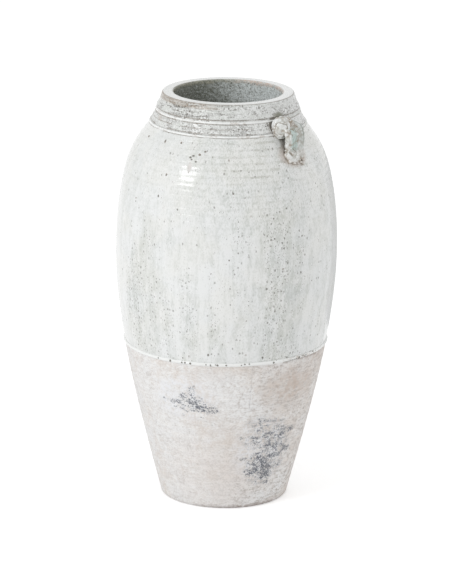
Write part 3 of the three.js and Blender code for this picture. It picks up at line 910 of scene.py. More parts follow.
def throat_colour(s, cloud, mottle, grain, specks):
    """Starved, pocked glaze of the throat, with painted light on its right side and painted shade on its left,
    darker deeper down, and brown towards the mouth.
    """
    (starved,) = tints("throat_glaze_and_shade")
    # Painted light and shade: the throat runs from the dark starved glaze on its shaded left to a painted lit
    # colour on its right
    pale = s.ramp(s.x + s.y, -0.078, 0.085) + (mottle - 0.5) * 2.0 + (grain - 0.5) * 1.6
    throat = s.mix(s.held(pale, -0.1, 1.1), starved, PAINTED_LIT_THROAT)
    pocked = s.ramp(grain * 0.6 + mottle * 0.4, 0.47, 0.36) * 0.55
    pocked = s.held(s.squiggles(210.0, 0.10) * 0.20 + specks * 0.45 + pocked)
    throat = s.mix(pocked, throat, THROAT_POCK)
    # Deeper down the throat it darkens towards the starved glaze
    throat = s.mix(s.ramp(s.z, 0.566, 0.550) * 0.35, throat, starved)
    rise = s.z + (cloud - 0.5) * 0.008
    mouth_edge = s.ramp(rise, RIM_Z - 0.0070, RIM_Z - 0.0040) * s.spread(mottle, 0.2)
    mouth_brown = s.mix(s.ramp(s.x + s.y, -0.02, 0.06), LEFT_MOUTH, RIGHT_MOUTH)
    return s.mix(mouth_edge * 0.80, throat, mouth_brown)


def neck_glaze(name):
    """Thin crawled glaze of the neck, collar and lip, brown where it breaks over an edge, and dark inside."""
    thick, thin, iron, rust = tints("thick_glaze", "thin_glaze", "iron", "rust")
    s = Surface(name, 0.098)
    cloud = s.noise(s.place, 45.0, 4.0, 0.6)
    bands = s.streaks(10.0, 330.0, 3.0, 0.6)
    mottle = s.noise(s.place, 300.0, 3.0, 0.7)
    grain = s.noise(s.place, 640.0, 2.0, 0.65)
    scratches = s.streaks(36.0, 520.0, 2.0, 0.6)
    on_lip = s.ramp(s.z, RIM_Z - 0.0010, RIM_Z - 0.0003)
    rightward = s.sideways(-5.0, 35.0)
    leftward = s.sideways(14.0, -10.0) * s.ramp(s.z, COLLAR_Z, COLLAR_Z + 0.003)
    below = s.ramp(s.z, COLLAR_Z, COLLAR_Z - 0.003)

    worn = (cloud - 0.5) * 1.2 + (bands - 0.5) * 1.1 + (mottle - 0.5) * 1.8 + (grain - 0.5) * 2.4
    worn = (worn + (scratches - 0.5) * 1.3) * (1 - on_lip * 0.75)
    thickness = 0.57 + rightward * 0.22 + below * 0.10 + worn + on_lip * 0.28
    s.base = s.mix(s.held(thickness, -0.5, 1.3), thin, thick)

    crawled = s.squiggles(200.0, 0.10) * s.spread(cloud * 0.6 + bands * 0.4, 0.10)
    dashes = s.ramp(scratches, 0.50, 0.62) * (leftward * 0.9 + 0.30)
    specks = s.specks(0.0034, 0.0011, 0.58 - on_lip * 0.35 - rightward * 0.15, 1.0, 0.5, 0.0015)
    dark = s.held(crawled * 0.66 + specks * 0.62 + dashes * 0.40) * (1 - on_lip * 0.85)
    s.coat(dark, iron)
    # Iron brown and painted shade in thin grooves: at the collar's foot, below the rim's edge, beside the
    # cordons and one lower on the neck
    shaded_grooves = s.most(s.line(COLLAR_Z - 0.0002, 0.0012), s.line(RIM_Z - 0.0009, 0.0006, 0.1),
                     s.line(UPPER_CORDON[0] - 0.0014, 0.0009, 0.2),
                     s.line(LOWER_CORDON[1] - 0.0002, 0.0008, 0.4), s.line(0.5568, 0.0008, 0.6))
    s.coat(shaded_grooves * 0.60, s.mix(cloud * 0.6, iron, rust))

    edge = s.ramp(s.z, RIM_Z - 0.0095, RIM_Z - 0.0060) * s.ramp(s.z, RIM_Z - 0.0006, RIM_Z - 0.0014)
    brown = edge * s.sideways(2.0, -22.0) * s.ramp(bands * 0.4 + mottle * 0.35 + grain * 0.25, 0.40, 0.56)
    s.coat(brown * 0.60, LIP_BROWN)
    s.coat(s.patch(-66.0, 6.0, 0.5600, 0.0050) * s.spread(mottle) * 0.60, rust)
    # Dark olive glaze pooled, with painted shade, on the collar's lower edge over the right lug's head
    s.coat(s.patch(44.5, 6.5, 0.5720, 0.0040) * s.ramp(cloud, 0.25, 0.45), LUG_GAP_POOL_AND_SHADE)
    clearance, from_large_ear = s.lug_clearance()
    ragged = (cloud - 0.5) * 0.005
    # Rust and iron round the lugs on the neck, with the dark crescent by the large ear, also stand in for
    # painted contact shade where the lugs meet the collar
    s.coat(s.ramp(clearance + ragged, 0.0060, 0.001) * 0.30, rust)
    s.coat(s.ramp(clearance + ragged, 0.0018, -0.0005) * 0.70, iron)
    s.coat(s.ramp(from_large_ear + ragged, 0.0042, 0.0022) * 0.80, iron)

    reach = s.math("SQRT", s.x * s.x + s.y * s.y)
    s.coat(s.ramp(reach, 0.0795, 0.0775), throat_colour(s, cloud, mottle, grain, specks))
    height = mottle * 0.30 + bands * 0.30 - dark * 0.35 - shaded_grooves * 0.3
    return s.finish(0.18 + mottle * 0.15 + dark * 0.2, height, 0.0006)


def cordon_glaze(name):
    """White glaze gathered along a thin cordon, its white also standing in for painted light on the ridge, with
    a few brown breaks, and thinner from the right lug on.
    """
    thin, rust = tints("thin_glaze", "rust")
    s = Surface(name, 0.100)
    mottle = s.noise(s.place, 240.0, 3.0, 0.65)
    breaks = s.ramp(s.noise(s.place, 60.0, 3.0, 0.6), 0.54, 0.66)
    worn = s.ramp(s.round, 28.0, 50.0) * s.ramp(s.round, 130.0, 100.0) * 0.8
    # The gathered white partly stands in for painted light that the cordon's ridge catches
    s.base = s.mix(s.held(worn + (mottle - 0.45) * 1.8), GATHERED, thin)
    s.coat(breaks * 0.30, rust)
    return s.finish(0.18 + mottle * 0.15, mottle * 0.35, 0.0006)


def lug_glaze(name):
    """Glaze of the lugs: beaded into pale glossy cells, green in the channel, brown between them, with painted
    shade on their far side and edge.
    """
    thick, thin, pooled, rust = tints("thick_glaze", "thin_glaze", "pooled_glaze", "rust")
    s = Surface(name)
    bead, crest, stand = (s.out(s.node("ShaderNodeAttribute", {"attribute_name": kept}), "Fac")
                          for kept in ("bead", "crest", "stand"))
    side = s.lug_side()
    cloud = s.noise(s.place, 85.0, 3.0, 0.6)
    mottle = s.noise(s.place, 330.0, 3.0, 0.65)
    grain = s.noise(s.place, 620.0, 2.0, 0.6)

    thickness = 0.63 + (crest - 0.5) * 1.2 + (bead - 0.8) * 0.7 + (cloud - 0.5) * 0.8 + (mottle - 0.5) * 1.9
    s.base = s.mix(s.held(thickness, -0.8, 1.2), thin, thick)
    s.coat(s.held(0.08 - (crest - 0.5) * 0.7 + (grain - 0.5) * 0.6), LUG_BROWN)
    pool = s.ramp(s.math("ABSOLUTE", side + 0.0050), 0.0095, 0.0040) * s.ramp(stand, 0.008, 0.013)
    pool = pool * s.ramp(s.z, 0.562, 0.555) * s.ramp(s.z, 0.524, 0.532)
    s.coat(pool * s.ramp(cloud, 0.28, 0.50) * 0.70, pooled)
    # Painted shade on the side of the strap that faces away from the light
    shaded = s.ramp(side, 0.000, 0.008) * s.ramp(s.z, 0.522, 0.532)
    s.coat(shaded * 0.40, LUG_FAR_SIDE_SHADE)
    cleft = s.ramp(bead, 0.64, 0.10)
    s.coat(cleft * (0.50 + s.spread(cloud) * 0.45) * (1 - shaded * 0.55), LUG_BROWN)
    s.coat(s.ramp(crest, 0.30, 0.0) * (0.5 - shaded * 0.4), rust)
    net = s.squiggles(190.0, 0.085) * (1 - pool) * (1 - shaded)
    s.coat(net * s.spread(cloud) * 0.42, LUG_BROWN)
    blotch = s.ramp(s.math("ABSOLUTE", side - 0.0015), 0.009, 0.004) * s.ramp(s.z, 0.5545, 0.5600) * 1.6
    tail = s.ramp(s.z, 0.532, 0.524) * (s.ramp(side, -0.004, 0.006) * 0.52 + 0.16)
    s.coat(s.most(blotch, tail) * s.spread(mottle * 0.5 + grain * 0.5, 0.10) * 0.85, LUG_BROWN)
    # Painted shade along the far edge of the strap
    s.coat(s.ramp(side, 0.0110, 0.0140) * s.ramp(s.z, 0.530, 0.540) * 0.60, LUG_FAR_EDGE_SHADE)

    # A pale line runs along the foot of the lug, and a brown one, of iron and painted contact shade, where it
    # meets the wall
    off_wall = stand + (cloud - 0.5) * 0.003
    s.coat(s.ramp(off_wall, 0.0040, 0.0026) * 0.45, LUG_PALE_FOOT)
    s.coat(s.ramp(off_wall, 0.0032, 0.0012) * 0.68, LUG_BROWN)
    return s.finish(0.06 + mottle * 0.12, mottle * 0.50 + grain * 0.35, 0.0007)


def roll_glaze(name):
    """Thick white roll of glaze, with dark burst bubbles, and iron with painted shade along its underside."""
    thin, iron, rust = tints("thin_glaze", "iron", "rust")
    s = Surface(name)
    mottle = s.noise(s.place, 220.0, 3.0, 0.6)
    burst = s.patch(47.0, 15.0, LINE_Z, 0.03)
    middle_z = (ROLL[0] + ROLL[1]) / 2
    dots = s.most(*(s.patch(degrees, size * 450, middle_z, size * 1.2) for degrees, size in ROLL_PITS))
    pits = s.most(s.specks(0.0070, 0.0013, 0.20, 1.0, 0.35, 0.001), s.ramp(dots + (mottle - 0.5), 0.1, 0.5),
                  s.specks(0.0042, 0.0017, burst * 0.85, 0.6, 0.35, 0.001))
    s.base = s.mix(mottle * 0.2, GATHERED, thin)
    s.coat(burst * s.ramp(mottle, 0.45, 0.62) * 0.5, rust)
    # Iron with painted shade along the underside of the roll where it bursts
    under = s.ramp(s.z + (mottle - 0.5) * 0.002, ROLL[0] + 0.0024, ROLL[0] + 0.0010) * s.ramp(burst, 0.1, 0.5)
    s.coat(under * 0.75, iron)
    s.coat(pits * 0.95, iron)
    return s.finish(0.16 + mottle * 0.1, mottle * 0.25 - pits * 0.6, 0.0006)


def scuffed(s, mottle, grain, slate):
    """Lays blue-grey scuffs over the clay, in a pale halo."""
    tiny = s.noise(s.place, 700.0, 2.0, 0.7)
    dragged = s.streaks(90.0, 220.0, 3.0, 0.65)
    fleck = s.spread(mottle * 0.10 + dragged * 0.24 + grain * 0.28 + tiny * 0.38, 0.078)
    rubbed = s.pushed(95.0, 0.016, 3.0)
    scuffs = s.most(s.strokes(rubbed, FIRST_SCUFF), s.strokes(rubbed, SECOND_SCUFF), s.patches(SCUFF_RUBS))
    halo = s.most(s.patch(-26.0, 26.0, 0.174, 0.040), s.patch(28.0, 26.0, 0.090, 0.065) * 0.8)
    s.coat(s.ramp(halo, 0.0, 0.7) * 0.68 * s.spread(mottle), PALE_HALO)
    worked = fleck + scuffs ** 0.8 * 0.72
    s.coat(s.ramp(worked, 0.70, 1.15) * s.ramp(scuffs, 0.0, 0.15) * 0.38, FAINT_SCUFF)
    s.coat(s.ramp(worked, 1.05, 1.34) * 0.94, slate)


def bare_surface(name):
    """Bare clay: pale bloom, pink and brown stains, blue-grey scuffs and the wipe marks across them."""
    clay, bloom, earth, slate = tints("bare_clay", "slip_bloom", "earth_stain", "scuff")
    s = Surface(name, 0.120)
    cloud = s.noise(s.place, 11.0, 4.0, 0.55)
    blotch = s.noise(s.place, 34.0, 4.0, 0.6)
    mottle = s.noise(s.place, 120.0, 4.0, 0.65)
    wipes = s.streaks(22.0, 210.0, 3.0, 0.6)
    brushed = s.streaks(110.0, 14.0, 2.0, 0.6)
    grain = s.streaks(330.0, 520.0, 3.0, 0.65)
    lines = s.squiggles(110.0, 0.05)

    bloomed = 0.56 + (cloud - 0.5) * 2.0 + (blotch - 0.5) * 1.6 + (brushed - 0.5) * 0.8 + (mottle - 0.5) * 0.9
    bloomed = bloomed + (grain - 0.5) * 1.6 + s.sideways(10.0, -50.0) * 0.35 - lines * 0.12
    bloomed = bloomed + s.patch(8.0, 20.0, 0.175, 0.050) * 0.6 + s.patch(0.0, 50.0, 0.020, 0.030) * 0.3
    bloomed = bloomed + (s.noise(s.place, 55.0, 2.0, 0.5) - 0.5) * 0.9
    s.base = s.mix(s.held(bloomed), clay, bloom)
    s.coat(s.spread(blotch * 0.4 + wipes * 0.6, 0.10) * 0.12, COOL_WIPE)

    shaded = s.sideways(-10.0, 40.0)
    wrinkles = s.squiggles(48.0, 0.030) * s.spread(blotch) + s.squiggles(150.0, 0.05) * s.spread(cloud) * 0.7
    gritty = (grain - 0.5) * 1.0 + (mottle - 0.5) * 0.35 + (s.streaks(110.0, 260.0, 2.0, 0.6) - 0.5) * 0.7
    gritty = gritty + (s.streaks(60.0, 320.0, 3.0, 0.6) - 0.5) * (0.3 + shaded * 0.4)
    pinkish = s.patch(-8.0, 45.0, 0.055, 0.080) * s.spread(blotch * 0.5 + cloud * 0.5, 0.10)
    s.coat(pinkish * 0.30, PINK_CLAY)
    s.coat(s.held(0.10 - gritty * (0.9 + shaded * 2.2) + wrinkles * 0.32), DARK_GRIT)
    s.coat(s.held((gritty - 0.10) * (0.5 + shaded * 2.6)), PALE_GRIT)
    s.coat(s.patches(EARTH_STAINS) * s.spread(mottle * 0.6 + grain * 0.4, 0.12) * 0.45, earth)

    scuffed(s, mottle, grain, slate)
    s.coat(s.specks(0.0085, 0.0010, 0.25, 0.8, 0.6, 0.0015) * 0.35, slate)
    crack = s.ramp(s.math("ABSOLUTE", s.round - 15.6 + (mottle - 0.5) * 2.0), 0.30, 0.05)
    crack = crack * s.ramp(s.z, 0.150, 0.170) * s.ramp(s.z, 0.228, 0.222) * s.spread(mottle)
    s.coat(crack * 0.35, slate)
    # Earth and slate with painted shade: under the glaze roll, and at the foot where it meets the floor
    under_roll_stain_and_shade = s.ramp(s.z, LINE_Z - 0.008, LINE_Z - 0.001) * s.patch(62.0, 22.0, LINE_Z, 0.02)
    foot_shade = s.ramp(s.z + (mottle - 0.5) * 0.016, 0.007, 0.0) * (0.3 + s.patch(20.0, 45.0, 0.0, 0.02))
    s.coat(s.held(under_roll_stain_and_shade * s.spread(mottle) * 0.9 + foot_shade * 0.6), s.mix(0.5, earth, slate))

    height = grain * 0.45 + wipes * 0.18 + mottle * 0.35 - crack * 0.8 - lines * 0.1
    return s.finish(0.85 + grain * 0.1, height, 0.0007, CLAY_IOR)


# Operators

# Steps of the profiles where they can be long, in metres, and the cove round the floor inside
COARSE_STEP = 0.02
INNER_STEP = 0.016
FLOOR_COVE = 0.02
# Width of the slope from the foot's recess down to its ring
RECESS_SLOPE = 0.006
# Points this near the outer wall belong to its skin
SKIN_DEPTH = 0.004
# Edges of the collar and the lip, in metres
COLLAR_LAP = 0.0016
BEVEL_FOOT = (COLLAR_RADIUS - 0.0006, COLLAR_Z + 0.0018)
BEVEL_TOP = (LIP_RADIUS, LIP_Z - 0.001)
BEVEL_HOLLOW = 0.0006
NECK_CORNER = 0.0008
LIP_EDGE = LIP_RADIUS - 0.0014
LIP_ROUND = 0.0045
MOUTH_ROUND = 0.0032
MOUTH_STEP = 0.0012
# The laid rings: half height, stand and drop of the cordons, and stand and rise of the roll
CORDON_HALF = 0.0014
CORDON_PROUD = 0.0009
CORDONS = (("lower_cordon", LOWER_CORDON, 0.0014), ("upper_cordon", UPPER_CORDON, 0.0011))
ROLL_PROUD = 0.0017
ROLL_RISE = 0.0006
RING_SINK = 0.002
RING_STEPS = 12
# Voxels that the lobes and strap of a lug are fused by
LUG_VOXEL = 0.0006
# The studio: half width of the floor, height that the lights aim at, and place and size of the dark card
FLOOR_REACH = 30.0
AIM_Z = 0.45
CARD_TURN = math.radians(149)
CARD_DISTANCE = 0.75
CARD_Z = 0.22
CARD_HALF_WIDTH = 0.25
CARD_HALF_HEIGHT = 0.20


class JAR_OT_bare_foot(bpy.types.Operator):
    """Throw the bare foot and lower wall"""

    bl_idname = "jar.bare_foot"
    bl_label = "Bare foot"

    def execute(self, context):
        shape = context.scene.jar_shape
        wall = Profile(shape)
        recess = shape.foot_radius - shape.foot_ring
        flat = shape.foot_radius - shape.foot_edge
        edge_top = (wall.outer(shape.foot_edge), shape.foot_edge)
        points = [(0.0, shape.foot_recess)]
        points += [(r, shape.foot_recess) for r in spaced(COARSE_STEP, recess - RECESS_SLOPE, COARSE_STEP)]
        points += rounded((recess - RECESS_SLOPE, shape.foot_recess), (recess - 0.002, 0.0), (recess, 0.0), 5)
        points += [(r, 0.0) for r in spaced(recess, flat, 0.004)]
        points += rounded((flat, 0.0), (shape.foot_radius, 0.0), edge_top, 7)
        points += [(wall.outer(z), z) for z in spaced(shape.foot_edge, LINE_Z, 0.0017)]
        points += [(wall.outer(LINE_Z), LINE_Z), (wall.inner(LINE_Z), LINE_Z)]

        floor_z, corner = shape.floor_z, wall.inner(shape.floor_z)
        cove_z = floor_z + FLOOR_COVE
        points += [(wall.inner(z), z) for z in spaced(LINE_Z - FLOOR_COVE, cove_z, INNER_STEP)]
        points += rounded((wall.inner(cove_z), cove_z), (corner, floor_z), (corner - FLOOR_COVE, floor_z), 5)
        points += [(r, floor_z) for r in spaced(corner - FLOOR_COVE, 0.0, COARSE_STEP)]
        points += [(0.0, floor_z)]

        def skin(r, z):
            return 1.0 if shape.foot_edge < z < LINE_Z and r > wall.outer(z) - SKIN_DEPTH else 0.0

        piece = throw("bare_foot", points, skin, bare_surface("Bare clay"), ring_depth=0.0005,
                      ring_pitch=0.012, ring_low=0.0, ring_high=0.05, lump_depth=0.0004, lump_size=0.012,
                      seed=3.0)
        seat(piece, "bare_clay", "foot_slab", "lower_wall")
        return {"FINISHED"}


class JAR_OT_glazed_body(bpy.types.Operator):
    """Throw the glazed belly and shoulder"""

    bl_idname = "jar.glazed_body"
    bl_label = "Glazed body"

    def execute(self, context):
        shape = context.scene.jar_shape
        wall = Profile(shape)
        points = [(wall.inner(LINE_Z), LINE_Z)]
        points += [(wall.outer(z), z) for z in spaced(LINE_Z, NECK_ROOT_Z, 0.0018)]
        points += [(wall.outer(NECK_ROOT_Z), NECK_ROOT_Z)]
        points += [(wall.inner(z), z) for z in spaced(NECK_ROOT_Z, LINE_Z, INNER_STEP)]

        def skin(r, z):
            return 1.0 if r > wall.outer(z) - SKIN_DEPTH else 0.0

        piece = throw("glazed_body", points, skin, body_glaze("Running glaze"), ring_depth=shape.ring_depth,
                      ring_pitch=shape.ring_pitch, ring_low=0.36, ring_high=0.47, wobble=shape.wobble,
                      lump_depth=0.0003, lump_size=0.02, run_depth=0.0004, seed=7.0)
        seat(piece, "glaze", "belly_wall", "shoulder_wall")
        return {"FINISHED"}


class JAR_OT_neck(bpy.types.Operator):
    """Throw the neck with its collar and lip"""

    bl_idname = "jar.neck"
    bl_label = "Neck, collar and lip"

    def bevel(self, count):
        """Points up the collar's bevel, which is a little hollow, with its foot included."""
        points = []
        for i in range(count):
            t = i / count
            hollow = BEVEL_HOLLOW * math.sin(math.pi * t)
            points.append((BEVEL_FOOT[0] + (BEVEL_TOP[0] - BEVEL_FOOT[0]) * t - hollow,
                           BEVEL_FOOT[1] + (BEVEL_TOP[1] - BEVEL_FOOT[1]) * t))
        return points

    def execute(self, context):
        shape = context.scene.jar_shape
        wall = Profile(shape)
        neck, mouth = shape.neck_radius, shape.mouth_radius
        corner_z = COLLAR_Z - NECK_CORNER
        root = wall.inner(NECK_ROOT_Z + 0.005)
        points = [(root + 0.003, NECK_ROOT_Z)]
        points += [(wall.outer(z), z) for z in spaced(NECK_ROOT_Z, corner_z, 0.0008)]
        lap = (COLLAR_RADIUS - COLLAR_LAP, COLLAR_Z)
        points += rounded((neck, corner_z), (neck - 0.0004, COLLAR_Z), lap, 4)
        points += rounded(lap, (COLLAR_RADIUS, COLLAR_Z), BEVEL_FOOT, 5)
        points += self.bevel(14)
        points += rounded(BEVEL_TOP, (LIP_EDGE + 0.0006, LIP_Z + 0.002), (LIP_EDGE, RIM_Z - LIP_ROUND), 4)
        points += rounded((LIP_EDGE, RIM_Z - LIP_ROUND), (LIP_EDGE, RIM_Z), (LIP_EDGE - LIP_ROUND, RIM_Z), 8)
        points += [(r, RIM_Z) for r in spaced(LIP_EDGE - LIP_ROUND, mouth + MOUTH_ROUND, MOUTH_STEP)]
        points += rounded((mouth + MOUTH_ROUND, RIM_Z), (mouth, RIM_Z), (mouth, RIM_Z - MOUTH_ROUND), 7)

        throat_z, joint_z = LIP_Z - shape.throat_drop, NECK_ROOT_Z + shape.joint_height
        points += [(mouth, z) for z in spaced(RIM_Z - MOUTH_ROUND, throat_z, MOUTH_STEP)]
        points += [(mouth, z) for z in spaced(throat_z, joint_z, MOUTH_STEP)]
        points += [(hermite(z, NECK_ROOT_Z, root, -1.0, joint_z, mouth, 0.0), z)
                   for z in spaced(joint_z, NECK_ROOT_Z, 0.0010)]

        def skin(r, z):
            return 1.0 if NECK_ROOT_Z + 0.001 < z < RIM_Z - 0.0006 else 0.0

        piece = throw("neck", points, skin, neck_glaze("Thin neck glaze"), ring_depth=0.0002,
                      ring_pitch=0.0041, ring_low=0.50, ring_high=0.51, lump_depth=0.0005, lump_size=0.008,
                      seed=11.0)
        seat(piece, "thin_glaze", "neck_ring", "collar_band", "lip_roll")
        return {"FINISHED"}


class JAR_OT_laid_rings(bpy.types.Operator):
    """Lay the two cordons and the roll of glaze"""

    bl_idname = "jar.laid_rings"
    bl_label = "Cordons and glaze roll"

    def ring(self, wall, low, high, proud):
        """Profile of a half-round ring between two heights, sunk a little into the wall."""
        middle, half = (low + high) / 2, (high - low) / 2
        points = []
        for i in range(RING_STEPS + 1):
            turn = math.pi * (i / RING_STEPS - 0.5)
            z = middle + half * math.sin(turn)
            points.append((wall.outer(z) + proud * math.cos(turn), z))
        points += [(wall.outer(high) - RING_SINK, high), (wall.outer(low) - RING_SINK, low)]
        return points

    def execute(self, context):
        wall = Profile(context.scene.jar_shape)

        def all_over(r, z):
            return 1.0

        for name, (low, high), drop in CORDONS:
            middle = (low + high) / 2 - drop
            points = self.ring(wall, middle - CORDON_HALF, middle + CORDON_HALF, CORDON_PROUD)
            piece = throw(name, points, all_over, cordon_glaze(name.replace("_", " ").capitalize()),
                          lump_depth=0.0007, lump_size=0.007, seed=19.0)
            seat(piece, "glaze", name)
        points = self.ring(wall, *ROLL, ROLL_PROUD)
        azimuth = context.scene.jar_studio.azimuth
        piece = throw("glaze_roll", points, all_over, roll_glaze("White glaze roll"), sides=640,
                      lump_depth=0.0011, lump_size=0.007, rise=ROLL_RISE, rise_azimuth=azimuth - math.pi / 2,
                      seed=23.0)
        seat(piece, "thick_glaze", "glaze_roll")
        return {"FINISHED"}


class JAR_OT_lugs(bpy.types.Operator):
    """Model the two cord lugs"""

    bl_idname = "jar.lugs"
    bl_label = "Cord lugs"

    def lobe(self, bm, centre, size):
        start = len(bm.verts)
        bmesh.ops.create_icosphere(bm, subdivisions=4, radius=0.5)
        bm.verts.ensure_lookup_table()
        for vertex in bm.verts[start:]:
            vertex.co = Vector(centre) + Vector(a * b for a, b in zip(vertex.co, size))

    def strap(self, bm, lug, corners):
        """Squarish strap with a channelled face along a cubic of four (x, z) corners."""
        steps, sides = 40, 48
        rings = []
        for i in range(steps + 1):
            t = i / steps
            u = 1 - t
            weights = (u ** 3, 3 * u * u * t, 3 * u * t * t, t ** 3)
            x, z = (sum(w * c[k] for w, c in zip(weights, corners)) for k in (0, 1))
            slopes = (3 * u * u, 6 * u * t, 3 * t * t)
            run, fall = (sum(w * (corners[j + 1][k] - corners[j][k]) for j, w in enumerate(slopes))
                         for k in (0, 1))
            size = math.hypot(run, fall)
            out = (-fall / size, run / size)
            width = lug.top_width + (lug.foot_width - lug.top_width) * t
            ring = []
            for j in range(sides):
                turn = math.tau * j / sides
                a, b = math.sin(turn), math.cos(turn)
                side = width / 2 * math.copysign(abs(a) ** 0.7, a)
                channel = lug.channel * b ** 8 if b > 0 else 0
                lift = lug.thickness / 2 * math.copysign(abs(b) ** 0.7, b) - channel
                ring.append(bm.verts.new((x + out[0] * lift, side, z + out[1] * lift)))
            rings.append(ring)
        for lower, upper in zip(rings, rings[1:]):
            for j in range(sides):
                k = (j + 1) % sides
                bm.faces.new((lower[j], upper[j], upper[k], lower[k]))
        bm.faces.new(rings[0])
        bm.faces.new(reversed(rings[-1]))

    def blank(self, name, lug, wall, head, tail_z):
        """Mesh of a lug's lobes, beads and strap, still unfused."""
        head_x, head_z = head
        tail_x = wall.outer(tail_z)
        bow = tail_x + lug.stand
        corners = [(head_x, head_z), (bow + lug.swell, head_z), (bow, COLLAR_Z - lug.bend_drop),
                   (bow, tail_z)]
        ear = Vector((lug.ear_depth, lug.ear_width, lug.head_height))
        bm = bmesh.new()
        self.lobe(bm, (head_x, -lug.ear_offset, head_z), ear)
        self.lobe(bm, (head_x, lug.ear_offset, head_z - lug.small_ear_drop), ear * lug.small_ear)
        self.lobe(bm, (head_x, 0.0, head_z), (lug.ear_depth, lug.brow_width, lug.brow_height))
        self.lobe(bm, (tail_x, 0.0, tail_z), (2 * lug.tail_proud, lug.tail_width, lug.tail_height))
        for across, drop, size in TAIL_BEADS:
            z = tail_z - drop
            self.lobe(bm, (wall.outer(z), across, z), (size, size, size * 0.8))
        self.strap(bm, lug, corners)
        mesh = bpy.data.meshes.new(name)
        bm.to_mesh(mesh)
        bm.free()
        return mesh

    def fuse(self, piece, material):
        """Makes one melted skin of a lug's lobes and strap."""
        remesh = piece.modifiers.new("Fuse", "REMESH")
        remesh.mode = "VOXEL"
        remesh.voxel_size = LUG_VOXEL
        melt = piece.modifiers.new("Melt", "SMOOTH")
        melt.factor = 0.5
        melt.iterations = 10
        plain(piece, material)

    def execute(self, context):
        lug = context.scene.jar_lug
        wall = Profile(context.scene.jar_shape)
        material = lug_glaze("Lug glaze")
        head_z, tail_z = COLLAR_Z - lug.head_drop, COLLAR_Z - lug.tail_drop
        head_x = wall.outer(head_z) + lug.ear_proud - lug.ear_depth / 2
        facing = Vector((0.62, -0.74, 0.05)).normalized()
        on_ear = Vector((head_x, -lug.ear_offset, head_z)) + facing * lug.ear_width / 2
        on_tail = Vector((wall.outer(tail_z) + lug.tail_proud, -0.008, tail_z + 0.007))
        rings = ((on_ear, 0.0092), (on_tail, 0.0060))
        for side, turned, seed in (("right", 0.0, 5), ("left", lug.left_turn, 31)):
            name = side + "_lug"
            piece = placed(name, self.blank(name, lug, wall, (head_x, head_z), tail_z))
            self.fuse(piece, material)
            weather(piece.data, wall, rings, seed)
            piece.data.transform(Matrix.Rotation(turned, 4, "Z"))
            for polygon in piece.data.polygons:
                polygon.use_smooth = True
            seat(piece, "thin_glaze", *(f"{side}_lug_{part}" for part in ("head", "strap", "tail")))
        return {"FINISHED"}


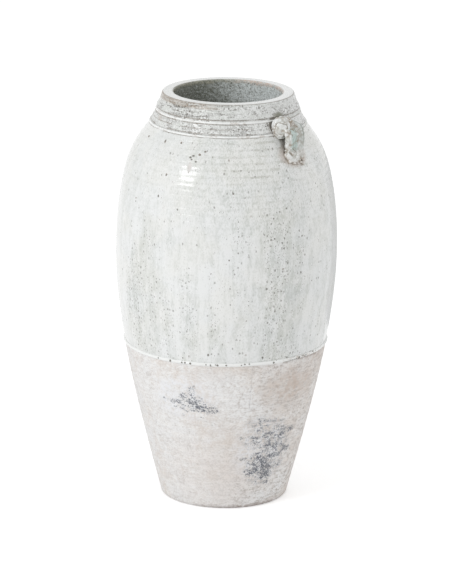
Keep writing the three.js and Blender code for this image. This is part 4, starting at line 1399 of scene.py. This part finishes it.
class JAR_OT_studio(bpy.types.Operator):
    """Set up the floor, the lights and the camera"""

    bl_idname = "jar.studio"
    bl_label = "Studio"

    def execute(self, context):
        scene, studio = context.scene, context.scene.jar_studio
        scene.view_settings.view_transform = "Standard"
        front = Vector((math.sin(studio.azimuth), -math.cos(studio.azimuth), 0.0))
        right = Vector((math.cos(studio.azimuth), math.sin(studio.azimuth), 0.0))
        up = Vector((0.0, 0.0, 1.0))
        self.camera(scene, studio, front, right, up)
        self.floor()
        self.world(scene, studio)
        self.lights(studio, front, right, up)
        self.card(front, right, up)
        return {"FINISHED"}

    def camera(self, scene, studio, front, right, up):
        toward = front * math.cos(studio.elevation) + up * math.sin(studio.elevation)
        camera = placed("camera", bpy.data.cameras.new("camera"))
        camera.data.lens = studio.lens
        camera.data.sensor_fit = "AUTO"
        camera.data.sensor_width = 36.0
        camera.data.clip_end = 100.0
        target = up * studio.target_z + right * studio.target_right
        camera.location = target + toward * studio.distance
        camera.rotation_mode = "QUATERNION"
        camera.rotation_quaternion = toward.to_track_quat("Z", "Y") @ Quaternion((0, 0, 1), studio.roll)
        scene.camera = camera

    def dull(self, mesh, name, grey):
        """Gives a mesh a grey with no gloss, and returns its shader, which also gives light of its own."""
        material = bpy.data.materials.new(name)
        material.use_nodes = True
        mesh.materials.append(material)
        shader = material.node_tree.nodes["Principled BSDF"]
        shader.inputs["Base Color"].default_value = (grey, grey, grey, 1.0)
        shader.inputs["Specular IOR Level"].default_value = 0.0
        shader.inputs["Emission Strength"].default_value = 1.0
        return shader

    def floor(self):
        bm = bmesh.new()
        bmesh.ops.create_grid(bm, x_segments=1, y_segments=1, size=FLOOR_REACH)
        mesh = bpy.data.meshes.new("floor")
        bm.to_mesh(mesh)
        bm.free()
        floor = placed("floor", mesh)
        shader = self.dull(mesh, "Studio floor", 0.93)
        shader.inputs["Roughness"].default_value = 0.9
        g = Graph(shader.id_data)
        g.feed(shader.inputs["Emission Color"], g.mix(g.seen(), (0.0, 0.0, 0.0), (0.30, 0.30, 0.30)))

    def world(self, scene, studio):
        world = bpy.data.worlds.new("Studio world")
        scene.world = world
        world.use_nodes = True
        g = Graph(world.node_tree)
        background = world.node_tree.nodes["Background"]
        background.inputs["Strength"].default_value = 1.0
        g.feed(background.inputs["Color"], g.mix(g.seen(), (studio.ambient,) * 3, (1.0, 1.0, 1.0)))

    def lights(self, studio, front, right, up):
        def area(name, azimuth, elevation, distance, width, height, power):
            azimuth, elevation = math.radians(azimuth), math.radians(elevation)
            way = (front * math.cos(azimuth) + right * math.sin(azimuth)) * math.cos(elevation)
            way = way + up * math.sin(elevation)
            light = bpy.data.lights.new(name, "AREA")
            light.shape = "RECTANGLE"
            light.size, light.size_y, light.energy = width, height, power
            lamp = placed(name, light)
            lamp.location = up * AIM_Z + way * distance
            lamp.rotation_mode = "QUATERNION"
            lamp.rotation_quaternion = way.to_track_quat("Z", "Y")

        area("window", azimuth=-46.0, elevation=24.2, distance=2.0, width=0.60, height=0.63,
             power=studio.key_power)
        area("fill", azimuth=105.0, elevation=12.0, distance=2.6, width=1.3, height=1.8,
             power=studio.fill_power)

    def card(self, front, right, up):
        """Dark card behind the jar that shows only as the dark line along its right edge."""
        way = front * math.cos(CARD_TURN) + right * math.sin(CARD_TURN)
        across = way.cross(up) * CARD_HALF_WIDTH
        middle = way * CARD_DISTANCE + up * CARD_Z
        tall = up * CARD_HALF_HEIGHT
        corners = (middle - across - tall, middle + across - tall,
                   middle + across + tall, middle - across + tall)
        mesh = bpy.data.meshes.new("dark_card")
        mesh.from_pydata(corners, [], [(0, 1, 2, 3)])
        card = placed("dark_card", mesh)
        card.visible_camera = card.visible_diffuse = card.visible_shadow = False
        shader = self.dull(mesh, "Dark card", 0.0)
        shader.inputs["Emission Color"].default_value = (0.58, 0.58, 0.58, 1.0)


class JAR_PT_panel(bpy.types.Panel):
    """Steps of the jar, in the order that they are made"""

    bl_label = "Jar"
    bl_idname = "JAR_PT_panel"
    bl_space_type = "VIEW_3D"
    bl_region_type = "UI"
    bl_category = "Jar"

    def draw(self, context):
        for step in STEPS:
            self.layout.operator(step.bl_idname)


STEPS = (JAR_OT_studio, JAR_OT_bare_foot, JAR_OT_glazed_body, JAR_OT_neck, JAR_OT_laid_rings, JAR_OT_lugs)
GROUPS = {"jar_shape": JarShape, "jar_lug": JarLug, "jar_finish": JarFinish, "jar_studio": JarStudio}


def register():
    for group in GROUPS.values():
        bpy.utils.register_class(group)
    for step in (*STEPS, JAR_PT_panel):
        bpy.utils.register_class(step)
    for name, group in GROUPS.items():
        setattr(bpy.types.Scene, name, PointerProperty(type=group))


def unregister():
    for name in GROUPS:
        delattr(bpy.types.Scene, name)
    for step in (JAR_PT_panel, *reversed(STEPS)):
        bpy.utils.unregister_class(step)
    for group in reversed(GROUPS.values()):
        bpy.utils.unregister_class(group)


def main():
    register()
    bpy.ops.jar.studio()
    bpy.ops.jar.bare_foot()
    bpy.ops.jar.glazed_body()
    bpy.ops.jar.neck()
    bpy.ops.jar.laid_rings()
    bpy.ops.jar.lugs()


if __name__ == "__main__":
    main()
